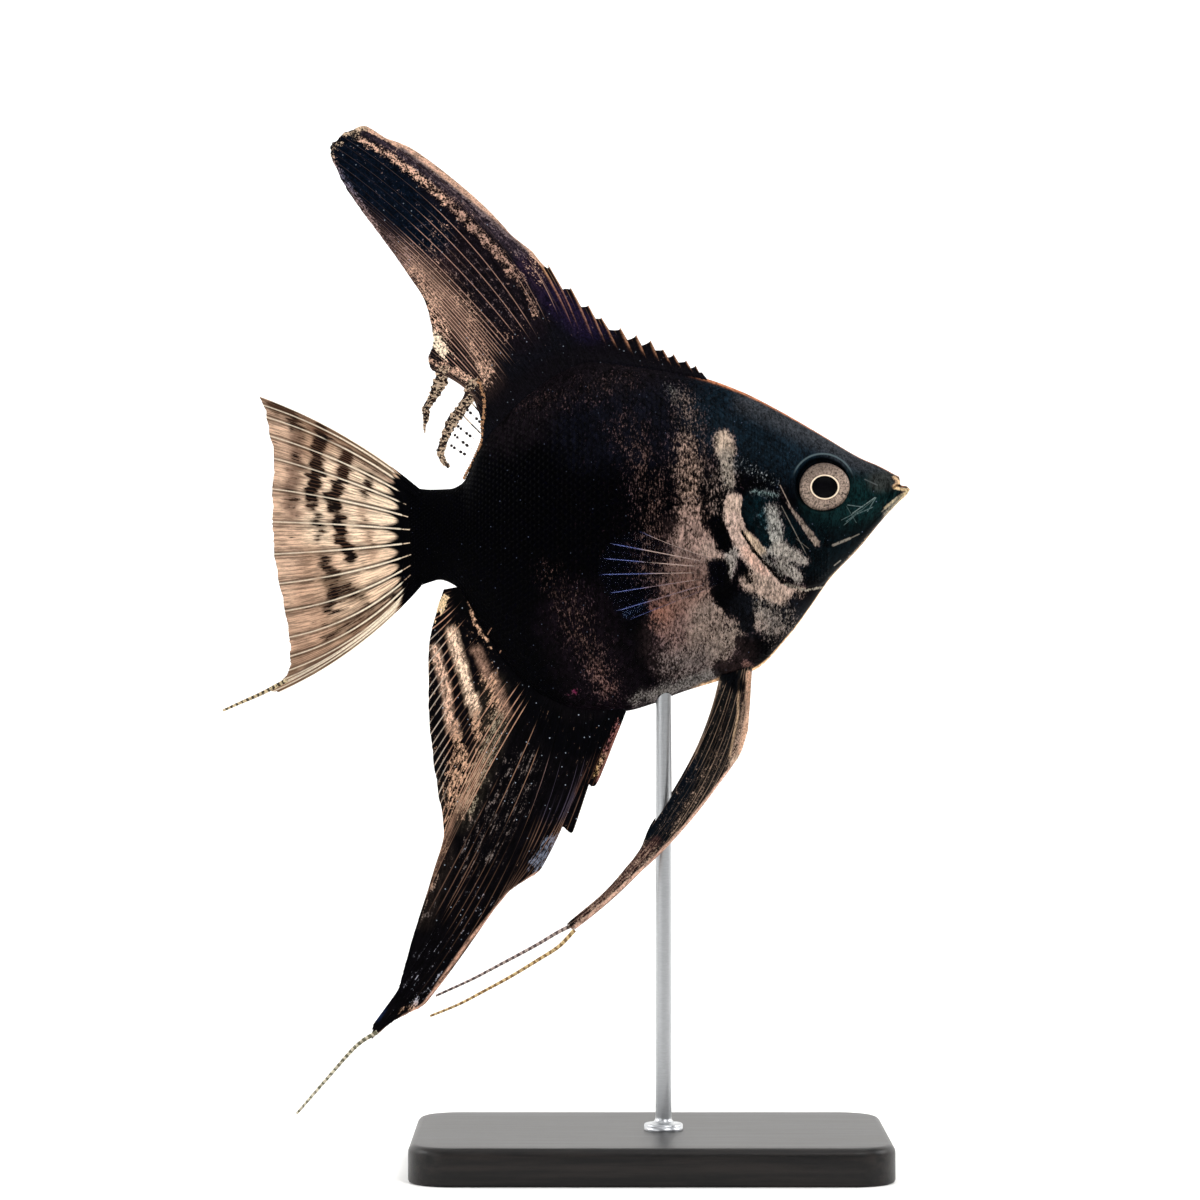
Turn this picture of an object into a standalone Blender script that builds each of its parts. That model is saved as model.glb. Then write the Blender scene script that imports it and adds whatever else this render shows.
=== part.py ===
"""Freshwater angelfish, Pterophyllum scalare, as a life-size still model on a display stand.

Metres, +Z up. The fish swims towards +X, its right side faces -Y, and Y = 0 is the plane of
symmetry of its body. The stand's base rests on Z = 0. All the sizes below are in millimetres.
"""
import math

import bmesh
import bpy
import numpy as np

MM = 0.001

# ---------------------------------------------------------------- driving sizes
GAP = 0.3                 # clear gap between two parts that meet
RING = 36                 # points round one body section
STATION = 1.9             # spacing of the body sections along X
TAIL_END_X = -23.9        # where the body stops and the tail fin starts
NOSE_X = 55.0             # tip of the lower jaw
EYE_X = 41.4
EYE_Z = 108.8
EYE_R = 4.15
EYE_DEPTH = 2.2           # half thickness of the eyeball, measured across the head
EYE_Y = 4.0               # centre of the eyeball, out from the plane of symmetry
COVER_IN_Y = 3.4          # inner face of the gill covers
FIN_ROOT_T = 1.2          # thickness of a fin at its root and at its edge
FIN_EDGE_T = 0.55
PAIRED_ROOT_T = 1.0
SPLAY_PECTORAL = 0.21     # how far the pectoral fins stand out, per mm of length
BASE_X = 13.5             # stand: centre, length, width and thickness of the base
BASE_LEN = 76.0
BASE_WIDTH = 50.0
BASE_T = 6.0
BASE_CORNER = 7.0
BASE_BEVEL = 0.8
ROD_X = 15.6
ROD_R = 1.3
ROD_TOP = 82.0
ROD_FOOT = 2.6

# outline of the body from the side: x and z of its upper and lower edge
BACK = [(-25.0, 108.9), (-21.8, 108.5), (-18.6, 108.6), (-16.6, 109.5), (-14.1, 114.6),
        (-11.8, 118.2), (-9.0, 121.4), (-6.1, 124.0), (-0.8, 127.7), (3.8, 129.2),
        (10.2, 128.5), (21.1, 126.6), (27.8, 124.3), (34.2, 121.1), (40.6, 117.4),
        (47.0, 113.6), (50.2, 112.2), (52.6, 110.9), (53.3, 110.5), (53.5, 109.2),
        (54.5, 108.95), (55.0, 108.5)]
BELLY = [(-25.0, 92.2), (-21.8, 93.4), (-20.2, 93.8), (-17.8, 92.9), (-13.8, 86.7),
         (-9.0, 79.5), (-3.4, 74.7), (3.0, 72.6), (9.4, 72.8), (13.4, 73.8), (18.2, 75.7),
         (24.3, 77.6), (30.2, 79.4), (35.8, 85.0), (39.0, 89.3), (42.2, 93.9),
         (47.0, 99.0), (50.7, 103.5), (53.4, 106.4), (54.6, 107.6), (55.0, 108.3)]
HALF_WIDTH = [(-25.0, 1.3), (-20.0, 2.3), (-16.0, 3.2), (-12.0, 4.1), (-6.0, 5.3), (0.0, 6.1),
              (6.0, 6.7), (14.0, 7.1), (22.0, 7.3), (30.0, 7.1), (36.0, 6.6), (41.0, 5.8),
              (46.0, 4.7), (50.0, 3.5), (52.5, 2.5), (53.4, 2.1), (54.4, 1.5), (55.0, 0.8)]
EDGE_SHARP = [(-25.0, 1.15), (-10.0, 1.3), (25.0, 1.3), (38.0, 1.15), (48.0, 1.0), (55.0, 1.0)]

# rear edge of the head, from the nape down the gill opening and out under the throat
GILL_LINE = [(24.6, 130.0), (25.6, 122.0), (26.6, 114.0), (27.0, 106.0), (28.2, 101.8),
             (31.8, 96.8), (34.4, 94.1), (37.3, 92.8), (40.2, 92.9), (42.4, 91.0), (44.0, 86.0)]
COVER = [(29.6, 110.4), (34.3, 107.2), (36.6, 102.4), (38.6, 97.6), (40.6, 94.4), (40.2, 92.9),
         (37.3, 92.8), (34.4, 94.1), (31.8, 96.8), (28.2, 101.8), (27.0, 106.0), (27.3, 109.0)]
TAIL_LINE_X = -15.8
JAW = [(57.0, 109.15), (52.9, 109.15), (52.3, 107.6), (50.6, 105.4), (49.6, 103.8),
       (49.2, 100.0), (57.0, 100.0)]

# fin rays: x (or z) where the ray leaves the body, x and z of its tip, and its bow as a share
# of its length, positive to the left of the way it grows
DORSAL = [(21.9, 20.6, 127.8, 0.0), (19.9, 18.2, 129.6, 0.0), (18.0, 16.2, 130.7, 0.0),
          (16.2, 14.2, 132.0, 0.0), (14.3, 12.0, 132.8, 0.0), (12.3, 9.9, 133.9, 0.0),
          (10.1, 7.4, 135.2, 0.0), (7.8, 5.0, 137.4, 0.02), (5.4, 1.4, 140.3, 0.03),
          (2.6, -2.9, 144.8, 0.02), (1.6, -10.6, 150.7, -0.05), (0.8, -18.6, 158.4, -0.09),
          (0.0, -26.0, 163.9, -0.09), (-0.6, -32.6, 166.7, -0.085), (-1.6, -36.3, 165.2, -0.07),
          (-2.6, -37.7, 162.4, -0.05), (-4.2, -36.2, 158.2, -0.03), (-5.5, -33.2, 153.6, -0.03),
          (-6.6, -30.0, 149.3, -0.03), (-8.0, -25.6, 143.2, -0.03), (-9.3, -22.4, 137.9, -0.03),
          (-10.3, -21.3, 132.2, -0.03), (-10.9, -21.9, 129.2, -0.05), (-11.4, -21.4, 126.6, -0.1),
          (-11.9, -18.6, 126.3, -0.05), (-12.6, -16.4, 126.2, 0.0), (-13.6, -14.2, 122.6, 0.0)]
SPINES_DORSAL = 9         # the first rays are spines, with the web notched between them
STREAMERS = {"front": [(-19.9, 125.9, 1.35), (-20.9, 124.2, 1.1), (-21.8, 122.4, 0.75),
                       (-22.3, 120.5, 0.6), (-22.4, 118.5, 0.3)],
             "rear": [(-16.8, 124.4, 0.5), (-17.2, 122.7, 1.1), (-18.2, 119.6, 1.2),
                      (-19.8, 116.8, 0.9), (-20.5, 113.9, 0.7), (-19.2, 112.2, 0.35)]}
ANAL = [(9.6, 8.6, 70.2, 0.0), (8.7, 7.0, 66.2, 0.0), (7.4, 4.6, 61.0, 0.03),
        (5.4, 0.9, 53.2, 0.05), (3.0, -3.8, 47.4, 0.08), (1.6, -9.6, 43.4, 0.09),
        (0.8, -15.2, 36.4, 0.08), (0.0, -20.2, 30.2, 0.073), (-0.8, -25.6, 24.6, 0.06),
        (-1.5, -30.2, 20.8, 0.05), (-1.9, -43.0, 8.3, 0.04), (-2.2, -43.3, 8.8, 0.04),
        (-2.7, -32.4, 22.2, 0.03), (-3.3, -29.6, 25.6, 0.02), (-4.2, -27.0, 30.7, 0.01),
        (-5.0, -24.2, 37.2, 0.0), (-5.8, -22.3, 42.7, -0.03), (-7.4, -20.0, 52.6, -0.04),
        (-8.4, -20.8, 60.0, -0.03), (-9.4, -21.6, 66.4, -0.01), (-11.8, -22.2, 73.8, 0.01),
        (-14.1, -22.1, 81.9, 0.04), (-16.2, -20.8, 88.8, 0.06), (-17.6, -19.5, 92.2, 0.0)]
SPINES_ANAL = 4
CAUDAL = [(109.2, -49.1, 123.3, -0.06), (108.2, -48.2, 121.0, -0.055),
          (106.9, -47.5, 117.6, -0.035), (105.4, -46.9, 113.4, -0.02), (103.2, -46.9, 107.0, -0.02),
          (101.1, -47.1, 101.1, 0.0), (98.9, -46.4, 95.5, 0.018), (96.8, -45.1, 89.6, 0.05),
          (95.0, -44.3, 84.0, 0.075), (93.8, -44.3, 80.4, 0.075), (93.1, -45.6, 77.6, 0.07),
          (92.7, -55.0, 73.3, 0.06), (92.4, -54.9, 72.8, 0.06), (91.7, -46.0, 76.0, 0.062)]
PELVIC_FRONT = [(29.6, 28.6, 66.4, 0.02), (29.1, 26.9, 64.4, 0.04), (28.7, 19.8, 55.3, 0.09),
                (28.3, 11.6, 46.1, 0.1), (28.1, 1.8, 37.9, 0.105)]
PELVIC_REAR = [(26.9, -0.6, 38.7, 0.11), (26.6, 7.8, 45.0, 0.075), (26.1, 11.8, 50.2, 0.055),
               (25.4, 14.8, 56.0, 0.03), (24.2, 20.0, 65.3, 0.02)]
# the thread that ends each pelvic fin: halfway along it and its tip
PELVIC_THREAD = {"right": ((-10.2, 29.9), (-21.6, 24.5)), "left": ((-10.8, 32.2), (-21.6, 26.9))}
THREAD_WIDTH = 0.5
PECTORAL = [(96.9, 11.2, 101.8, 0.02), (96.3, 6.7, 99.7, 0.0), (95.7, 5.4, 97.3, 0.0),
            (95.1, 4.8, 94.7, 0.0), (94.5, 6.4, 91.7, 0.0), (93.9, 7.5, 88.8, 0.0),
            (93.3, 9.6, 87.4, 0.0)]
PECTORAL_ROOT_X = 24.6


# ---------------------------------------------------------------- curves
def smooth(table, x):
    """Cubic through the pairs of a table, with slopes that never overshoot its values."""
    px, py = np.array(table, dtype=float).T
    step = np.diff(px)
    rise = np.diff(py) / step
    slope = np.zeros(len(px))
    slope[0] = rise[0]
    slope[-1] = rise[-1]
    same = rise[:-1] * rise[1:] > 0
    both = np.where(same, 2 * rise[:-1] * rise[1:] / np.where(same, rise[:-1] + rise[1:], 1), 0)
    slope[1:-1] = both
    i = np.clip(np.searchsorted(px, x) - 1, 0, len(px) - 2)
    t = (x - px[i]) / step[i]
    return ((1 + 2 * t) * (1 - t) ** 2 * py[i] + t * (1 - t) ** 2 * step[i] * slope[i]
            + t * t * (3 - 2 * t) * py[i + 1] + t * t * (t - 1) * step[i] * slope[i + 1])


def outline_root(table, x, side):
    """Point GAP outside the body's edge at x, square to that edge. side is +1 back, -1 belly."""
    h = 0.05
    z = smooth(table, x)
    slope = (smooth(table, x + h) - smooth(table, x - h)) / (2 * h)
    length = np.hypot(slope, 1.0)
    return x - side * slope / length * (GAP + 0.05), z + side * (GAP + 0.05) / length


def half_width(x, z):
    """Half thickness of the body at x and height z."""
    top = smooth(BACK, x)
    low = smooth(BELLY, x)
    c = np.clip((z - (top + low) / 2) / ((top - low) / 2), -1, 1)
    return smooth(HALF_WIDTH, x) * (1 - c * c) ** (smooth(EDGE_SHARP, x) / 2)


# ---------------------------------------------------------------- objects
def material(name, colour, rough, metal=0.0):
    """Plain material of one colour."""
    mat = bpy.data.materials.new(name)
    mat.use_nodes = True
    shader = mat.node_tree.nodes["Principled BSDF"]
    shader.inputs["Base Color"].default_value = (*colour, 1.0)
    shader.inputs["Roughness"].default_value = rough
    shader.inputs["Metallic"].default_value = metal
    return mat


def solid(name, points, faces, mat=None, smooth_faces=True):
    """Closed body from points in millimetres, with its faces turned outwards."""
    mesh = bpy.data.meshes.new(name)
    mesh.from_pydata([tuple(float(v) * MM for v in p) for p in points], [], faces)
    bm = bmesh.new()
    bm.from_mesh(mesh)
    bmesh.ops.recalc_face_normals(bm, faces=bm.faces)
    if bm.calc_volume(signed=True) < 0:
        bmesh.ops.reverse_faces(bm, faces=bm.faces)
    bm.to_mesh(mesh)
    bm.free()
    for face in mesh.polygons:
        face.use_smooth = smooth_faces
    obj = bpy.data.objects.new(name, mesh)
    bpy.context.scene.collection.objects.link(obj)
    if mat is not None:
        mesh.materials.append(mat)
    return obj


def cut(obj, cutter, operation="DIFFERENCE"):
    """Take a cutter out of a body, or keep only what lies inside it."""
    mod = obj.modifiers.new(cutter.name, "BOOLEAN")
    mod.object = cutter
    mod.operation = operation
    mod.solver = "EXACT"


def as_cutter(obj):
    """Hide a tool shape from the render."""
    obj.hide_render = True
    obj.display_type = "WIRE"
    return obj


def body(name, x0, x1, mat):
    """Length of the body between x0 and x1: superellipse sections between back and belly."""
    xs = np.linspace(x0, x1, max(3, round((x1 - x0) / STATION) + 1))
    phi = np.arange(RING) * 2 * math.pi / RING
    points = []
    for x in xs:
        top = smooth(BACK, x)
        low = smooth(BELLY, x)
        wide = np.sign(np.sin(phi)) * np.abs(np.sin(phi)) ** smooth(EDGE_SHARP, x)
        y = smooth(HALF_WIDTH, x) * wide
        z = (top + low) / 2 + (top - low) / 2 * np.cos(phi)
        points += [(x, yy, zz) for yy, zz in zip(y, z)]
    faces = [tuple(range(RING)), tuple(range(len(points) - RING, len(points)))]
    for i in range(len(xs) - 1):
        for j in range(RING):
            k = (j + 1) % RING
            faces.append((i * RING + j, i * RING + k, (i + 1) * RING + k, (i + 1) * RING + j))
    return solid(name, points, faces, mat)


def prism(name, outline, y0, y1):
    """Tool shape: an outline in X and Z carried from y0 to y1."""
    n = len(outline)
    points = [(x, y0, z) for x, z in outline] + [(x, y1, z) for x, z in outline]
    faces = [tuple(range(n)), tuple(range(n, 2 * n))]
    faces += [(i, (i + 1) % n, n + (i + 1) % n, n + i) for i in range(n)]
    return as_cutter(solid(name, points, faces, smooth_faces=False))


def grown(outline, by):
    """Outline with each corner moved out by a distance square to the two sides that meet there."""
    p = np.array(outline)
    ahead = np.roll(p, -1, axis=0) - p
    ahead /= np.linalg.norm(ahead, axis=1)[:, None]
    normal = np.stack([ahead[:, 1], -ahead[:, 0]], axis=1)
    both = normal + np.roll(normal, 1, axis=0)
    both *= (2 / (both ** 2).sum(axis=1))[:, None]
    area = np.sum(p[:, 0] * np.roll(p[:, 1], -1) - p[:, 1] * np.roll(p[:, 0], -1))
    return [tuple(v) for v in p + by * math.copysign(1, area) * both]


def ellipsoid(name, centre, radii, mat=None):
    """Ball stretched to three radii, its poles on the Y axis."""
    around = 24
    rows = 12
    points = [(centre[0], centre[1] - radii[1], centre[2])]
    for i in range(1, rows):
        a = math.pi * i / rows
        for j in range(around):
            b = 2 * math.pi * j / around
            points.append((centre[0] + radii[0] * math.sin(a) * math.cos(b),
                           centre[1] - radii[1] * math.cos(a),
                           centre[2] + radii[2] * math.sin(a) * math.sin(b)))
    points.append((centre[0], centre[1] + radii[1], centre[2]))
    last = len(points) - 1
    faces = []
    for j in range(around):
        k = (j + 1) % around
        faces.append((0, 1 + j, 1 + k))
        faces.append((last, last - around + k, last - around + j))
        for i in range(rows - 2):
            a = 1 + i * around
            faces.append((a + j, a + around + j, a + around + k, a + k))
    return solid(name, points, faces, mat)


def fin(name, roots, rays, mat, rows, spines=0, root_t=FIN_ROOT_T, side=None):
    """Fin as a thin plate over its rays.

    A ray is root + r * (tip - root) + 4 * bow * r * (1 - r) * length * normal. The first spines
    have one more column between each two, drawn back so that the web is notched. side(x, z, r)
    gives the Y of the plate's middle; without it the plate lies in the plane of symmetry.
    """
    roots = np.array(roots, dtype=float)
    tips = np.array([ray[1:3] for ray in rays], dtype=float)
    bows = np.array([ray[3] for ray in rays], dtype=float)
    at = [float(i) for i in range(len(rays))]
    at += [i + 0.5 for i in range(spines)]
    at = np.array(sorted(at))
    i = np.arange(len(rays))
    root = np.stack([np.interp(at, i, roots[:, k]) for k in (0, 1)], axis=1)
    tip = np.stack([np.interp(at, i, tips[:, k]) for k in (0, 1)], axis=1)
    bow = np.interp(at, i, bows)
    reach = np.where(at % 1 > 0, 0.86, 1.0)
    along = tip - root
    normal = np.stack([-along[:, 1], along[:, 0]], axis=1)
    r = np.linspace(0, 1, rows)[None, :, None] * reach[:, None, None]
    line = (root[:, None] + r * along[:, None]
            + 4 * bow[:, None, None] * r * (1 - r) * normal[:, None])
    thick = (root_t + (FIN_EDGE_T - root_t) * np.linspace(0, 1, rows))[None, :]
    thick = np.broadcast_to(thick, line.shape[:2])
    mid = np.zeros(line.shape[:2]) if side is None else side(line[..., 0], line[..., 1], r[..., 0])
    n, m = line.shape[:2]
    points = []
    for sign in (-0.5, 0.5):
        points += [(line[a, b, 0], mid[a, b] + sign * thick[a, b], line[a, b, 1])
                   for a in range(n) for b in range(m)]
    half = n * m
    faces = []
    for a in range(n - 1):
        for b in range(m - 1):
            q = (a * m + b, (a + 1) * m + b, (a + 1) * m + b + 1, a * m + b + 1)
            faces.append(q)
            faces.append(tuple(half + v for v in reversed(q)))
    rim = [a * m for a in range(n)] + [(n - 1) * m + b for b in range(1, m)]
    rim += [a * m + m - 1 for a in range(n - 2, -1, -1)] + [b for b in range(m - 2, 0, -1)]
    for a, b in zip(rim, rim[1:] + rim[:1]):
        faces.append((a, b, half + b, half + a))
    return solid(name, points, faces, mat)


def ribbon(name, path, mat, thick=FIN_EDGE_T):
    """Loose streamer: a flat strip with a given half width at each point of its path."""
    p = np.array(path, dtype=float)
    along = np.gradient(p[:, :2], axis=0)
    along /= np.linalg.norm(along, axis=1)[:, None]
    out = np.stack([-along[:, 1], along[:, 0]], axis=1) * p[:, 2:3]
    edge = np.concatenate([p[:, :2] + out, (p[:, :2] - out)[::-1]])
    n = len(edge)
    points = [(x, -thick / 2, z) for x, z in edge] + [(x, thick / 2, z) for x, z in edge]
    faces = []
    for i in range(len(p) - 1):
        q = (i, i + 1, n - 2 - i, n - 1 - i)
        faces.append(q)
        faces.append(tuple(n + v for v in reversed(q)))
    faces += [(i, (i + 1) % n, n + (i + 1) % n, n + i) for i in range(n)]
    return solid(name, points, faces, mat, smooth_faces=False)


def round_bar(name, x, radius, z0, z1, mat=None, around=24):
    """Upright round bar."""
    ring = [(x + radius * math.cos(2 * math.pi * k / around),
             radius * math.sin(2 * math.pi * k / around)) for k in range(around)]
    points = [(a, b, z0) for a, b in ring] + [(a, b, z1) for a, b in ring]
    faces = [tuple(range(around)), tuple(range(around, 2 * around))]
    faces += [(k, (k + 1) % around, around + (k + 1) % around, around + k) for k in range(around)]
    obj = solid(name, points, faces, mat, smooth_faces=False)
    for face in obj.data.polygons:
        face.use_smooth = len(face.vertices) == 4
    return obj


def base_plate(name, mat):
    """Flat base with round corners and a small bevel round its top."""
    corner = 8
    rings = []
    for z, inset in ((0.0, 0.0), (BASE_T - BASE_BEVEL, 0.0), (BASE_T, BASE_BEVEL)):
        ring = []
        for quarter in range(4):
            sx = (1, -1, -1, 1)[quarter]
            sy = (1, 1, -1, -1)[quarter]
            cx = BASE_X + sx * (BASE_LEN / 2 - BASE_CORNER)
            cy = sy * (BASE_WIDTH / 2 - BASE_CORNER)
            for k in range(corner + 1):
                a = math.pi / 2 * (quarter + k / corner)
                ring.append((cx + (BASE_CORNER - inset) * math.cos(a),
                             cy + (BASE_CORNER - inset) * math.sin(a), z))
        rings.append(ring)
    n = len(rings[0])
    points = [p for ring in rings for p in ring]
    faces = [tuple(range(n)), tuple(range(2 * n, 3 * n))]
    for i in range(2):
        faces += [(i * n + k, i * n + (k + 1) % n, (i + 1) * n + (k + 1) % n, (i + 1) * n + k)
                  for k in range(n)]
    return solid(name, points, faces, mat, smooth_faces=False)


# ---------------------------------------------------------------- clear the scene
for old in list(bpy.data.objects):
    bpy.data.objects.remove(old, do_unlink=True)

# ---------------------------------------------------------------- materials
SKIN_HEAD = material("skin_head", (0.012, 0.02, 0.026), 0.45)
SKIN_JAW = material("skin_jaw", (0.25, 0.19, 0.14), 0.45)
SKIN_COVER = material("skin_cover", (0.05, 0.06, 0.06), 0.4)
SKIN_TRUNK = material("skin_trunk", (0.03, 0.027, 0.028), 0.45)
SKIN_TAIL = material("skin_tail", (0.008, 0.008, 0.01), 0.45)
EYE = material("eye_shell", (0.34, 0.24, 0.2), 0.15)
FIN_DARK = material("fin_dark", (0.03, 0.03, 0.036), 0.5)
FIN_ANAL = material("fin_anal", (0.12, 0.1, 0.09), 0.5)
FIN_CAUDAL = material("fin_caudal", (0.4, 0.27, 0.2), 0.5)
FIN_PELVIC = material("fin_pelvic", (0.1, 0.085, 0.08), 0.5)
FIN_PECTORAL = material("fin_pectoral", (0.03, 0.04, 0.08), 0.4)
BASE_PAINT = material("base_paint", (0.012, 0.012, 0.013), 0.35)
ROD_STEEL = material("rod_steel", (0.55, 0.56, 0.57), 0.3, 1.0)

# ---------------------------------------------------------------- tool shapes
gill = np.array(GILL_LINE)
step = np.gradient(gill, axis=0)
step /= np.linalg.norm(step, axis=1)[:, None]
across = np.stack([-step[:, 1], step[:, 0]], axis=1) * GAP / 2
ahead = [tuple(v) for v in gill + across]
behind = [tuple(v) for v in gill - across]
keep_clear_of_head = prism("cut_behind_head", ahead + [(44.0, 60.0), (0.0, 60.0), (0.0, 140.0)],
                           -12, 12)
keep_clear_of_trunk = prism("cut_ahead_of_trunk", behind + [(70.0, 60.0), (70.0, 140.0)], -12, 12)
jaw_space = prism("cut_jaw_space", grown(JAW, GAP / 2), -12, 12)
jaw_keep = prism("cut_jaw_keep", grown(JAW, -GAP / 2), -12, 12)
rod_hole = as_cutter(round_bar("cut_rod_hole", ROD_X, ROD_R + GAP, 60.0, ROD_TOP + GAP))
rod_socket = as_cutter(round_bar("cut_rod_socket", ROD_X, ROD_R + GAP, ROD_FOOT - GAP, 9.0))

# ---------------------------------------------------------------- head, jaw, gill covers, eyes
head = body("head", 20.0, NOSE_X, SKIN_HEAD)
cut(head, keep_clear_of_head)
cut(head, jaw_space)
lower_jaw = body("lower_jaw", 46.0, NOSE_X, SKIN_JAW)
cut(lower_jaw, jaw_keep, "INTERSECT")
for label, sign in (("right", -1), ("left", 1)):
    y0, y1 = sorted((sign * (COVER_IN_Y - GAP), sign * 12.0))
    pocket = prism("cut_pocket_" + label, grown(COVER, GAP / 2), y0, y1)
    cut(head, pocket)
    y0, y1 = sorted((sign * COVER_IN_Y, sign * 12.0))
    plate = prism("cut_cover_" + label, grown(COVER, -GAP / 2), y0, y1)
    cover = body("gill_cover_" + label, 22.0, 46.0, SKIN_COVER)
    cut(cover, plate, "INTERSECT")
    centre = (EYE_X, sign * EYE_Y, EYE_Z)
    socket = as_cutter(ellipsoid("cut_socket_" + label, centre,
                                 (EYE_R + GAP, EYE_DEPTH + GAP, EYE_R + GAP)))
    cut(head, socket)
    ellipsoid("eye_" + label, centre, (EYE_R, EYE_DEPTH, EYE_R), EYE)

# ---------------------------------------------------------------- trunk and tail
trunk = body("trunk", TAIL_LINE_X + GAP / 2, 46.0, SKIN_TRUNK)
cut(trunk, keep_clear_of_trunk)
cut(trunk, rod_hole)
body("tail", TAIL_END_X, TAIL_LINE_X - GAP / 2, SKIN_TAIL)

# ---------------------------------------------------------------- fins on the middle line
roots = [outline_root(BACK, ray[0], 1) for ray in DORSAL]
fin("dorsal_fin", roots, DORSAL, FIN_DARK, rows=7, spines=SPINES_DORSAL)
for label, path in STREAMERS.items():
    ribbon("dorsal_streamer_" + label, path, FIN_DARK)
roots = [outline_root(BELLY, ray[0], -1) for ray in ANAL]
fin("anal_fin", roots, ANAL, FIN_ANAL, rows=7, spines=SPINES_ANAL)
roots = [(TAIL_END_X - GAP - 0.05, ray[0]) for ray in CAUDAL]
fin("caudal_fin", roots, CAUDAL, FIN_CAUDAL, rows=6)

# ---------------------------------------------------------------- paired fins
for label, sign in (("right", -1), ("left", 1)):
    halfway, tip = PELVIC_THREAD[label]
    thread = [(27.9, *halfway, 0.108), (27.7, *tip, 0.125),
              (27.5, tip[0], tip[1] + THREAD_WIDTH, 0.125),
              (27.3, halfway[0], halfway[1] + THREAD_WIDTH * 1.4, 0.115)]
    rays = PELVIC_FRONT + thread + PELVIC_REAR
    roots = [outline_root(BELLY, ray[0], -1) for ray in rays]
    fin("pelvic_fin_" + label, roots, rays, FIN_PELVIC, rows=8, root_t=PAIRED_ROOT_T,
        side=lambda x, z, r, s=sign: s * (1.0 + 3.0 * np.minimum(1.0, r * 2.0)))
    roots = [(PECTORAL_ROOT_X, ray[0]) for ray in PECTORAL]
    reach = float(half_width(PECTORAL_ROOT_X, 95.0)) + GAP + PAIRED_ROOT_T / 2 + 0.1
    fin("pectoral_fin_" + label, roots, PECTORAL, FIN_PECTORAL, rows=5, root_t=PAIRED_ROOT_T,
        side=lambda x, z, r, s=sign, y=reach: s * (y + SPLAY_PECTORAL * (PECTORAL_ROOT_X - x)))

# ---------------------------------------------------------------- stand
stand_base = base_plate("stand_base", BASE_PAINT)
cut(stand_base, rod_socket)
round_bar("stand_rod", ROD_X, ROD_R, ROD_FOOT, ROD_TOP, ROD_STEEL)
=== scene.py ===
"""Life-size museum model of a freshwater angelfish: the finish of every surface.

Metres, +Z up, head towards +X, right side towards -Y. Shapes are worked out in millimetres and
turned into metres where their mesh is made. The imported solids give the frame.
"""

import bpy
import numpy as np
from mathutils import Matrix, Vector


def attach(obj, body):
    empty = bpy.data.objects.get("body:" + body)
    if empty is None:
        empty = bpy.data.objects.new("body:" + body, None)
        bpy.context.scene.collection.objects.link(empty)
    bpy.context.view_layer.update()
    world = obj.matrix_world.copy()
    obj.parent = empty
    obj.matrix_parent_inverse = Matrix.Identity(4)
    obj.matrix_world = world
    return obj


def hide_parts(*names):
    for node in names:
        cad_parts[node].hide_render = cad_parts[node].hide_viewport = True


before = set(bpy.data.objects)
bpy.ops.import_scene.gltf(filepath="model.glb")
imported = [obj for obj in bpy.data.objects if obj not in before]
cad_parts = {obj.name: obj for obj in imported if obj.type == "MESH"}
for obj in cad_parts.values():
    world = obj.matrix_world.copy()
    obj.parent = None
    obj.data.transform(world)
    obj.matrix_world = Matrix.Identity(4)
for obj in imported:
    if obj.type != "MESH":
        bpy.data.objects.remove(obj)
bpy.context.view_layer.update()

# ------------------------------------------------------------------ stand: base
# A slab of close-grained wood under satin black lacquer, turned up square with rounded corners.
# It lies on the floor and the rod is glued into a hole in its top.
MM = 0.001


class Field:
    """A node socket with arithmetic: each operator adds the Math node that it stands for."""

    def __init__(self, finish, socket):
        self.finish = finish
        self.socket = socket

    def math(self, operation, *values):
        return self.finish.node("ShaderNodeMath", {"operation": operation},
                                dict(enumerate(values)))

    def __add__(self, other):
        return self.math("ADD", self, other)

    def __sub__(self, other):
        return self.math("SUBTRACT", self, other)

    def __rsub__(self, other):
        return self.math("SUBTRACT", other, self)

    def __mul__(self, other):
        return self.math("MULTIPLY", self, other)

    def __truediv__(self, other):
        return self.math("DIVIDE", self, other)

    __radd__ = __add__
    __rmul__ = __mul__

    def least(self, other):
        return self.math("MINIMUM", self, other)

    def most(self, other):
        return self.math("MAXIMUM", self, other)

    def root(self):
        return self.math("SQRT", self)

    def fract(self):
        return self.math("FRACT", self)

    def size(self):
        return self.math("ABSOLUTE", self)

    def step(self, low, high):
        """0 at low, 1 at high, with a soft start and end; low may be the larger."""
        return self.finish.node("ShaderNodeMapRange", {"interpolation_type": "SMOOTHSTEP"},
                                {"Value": self, "From Min": low, "From Max": high})


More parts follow.
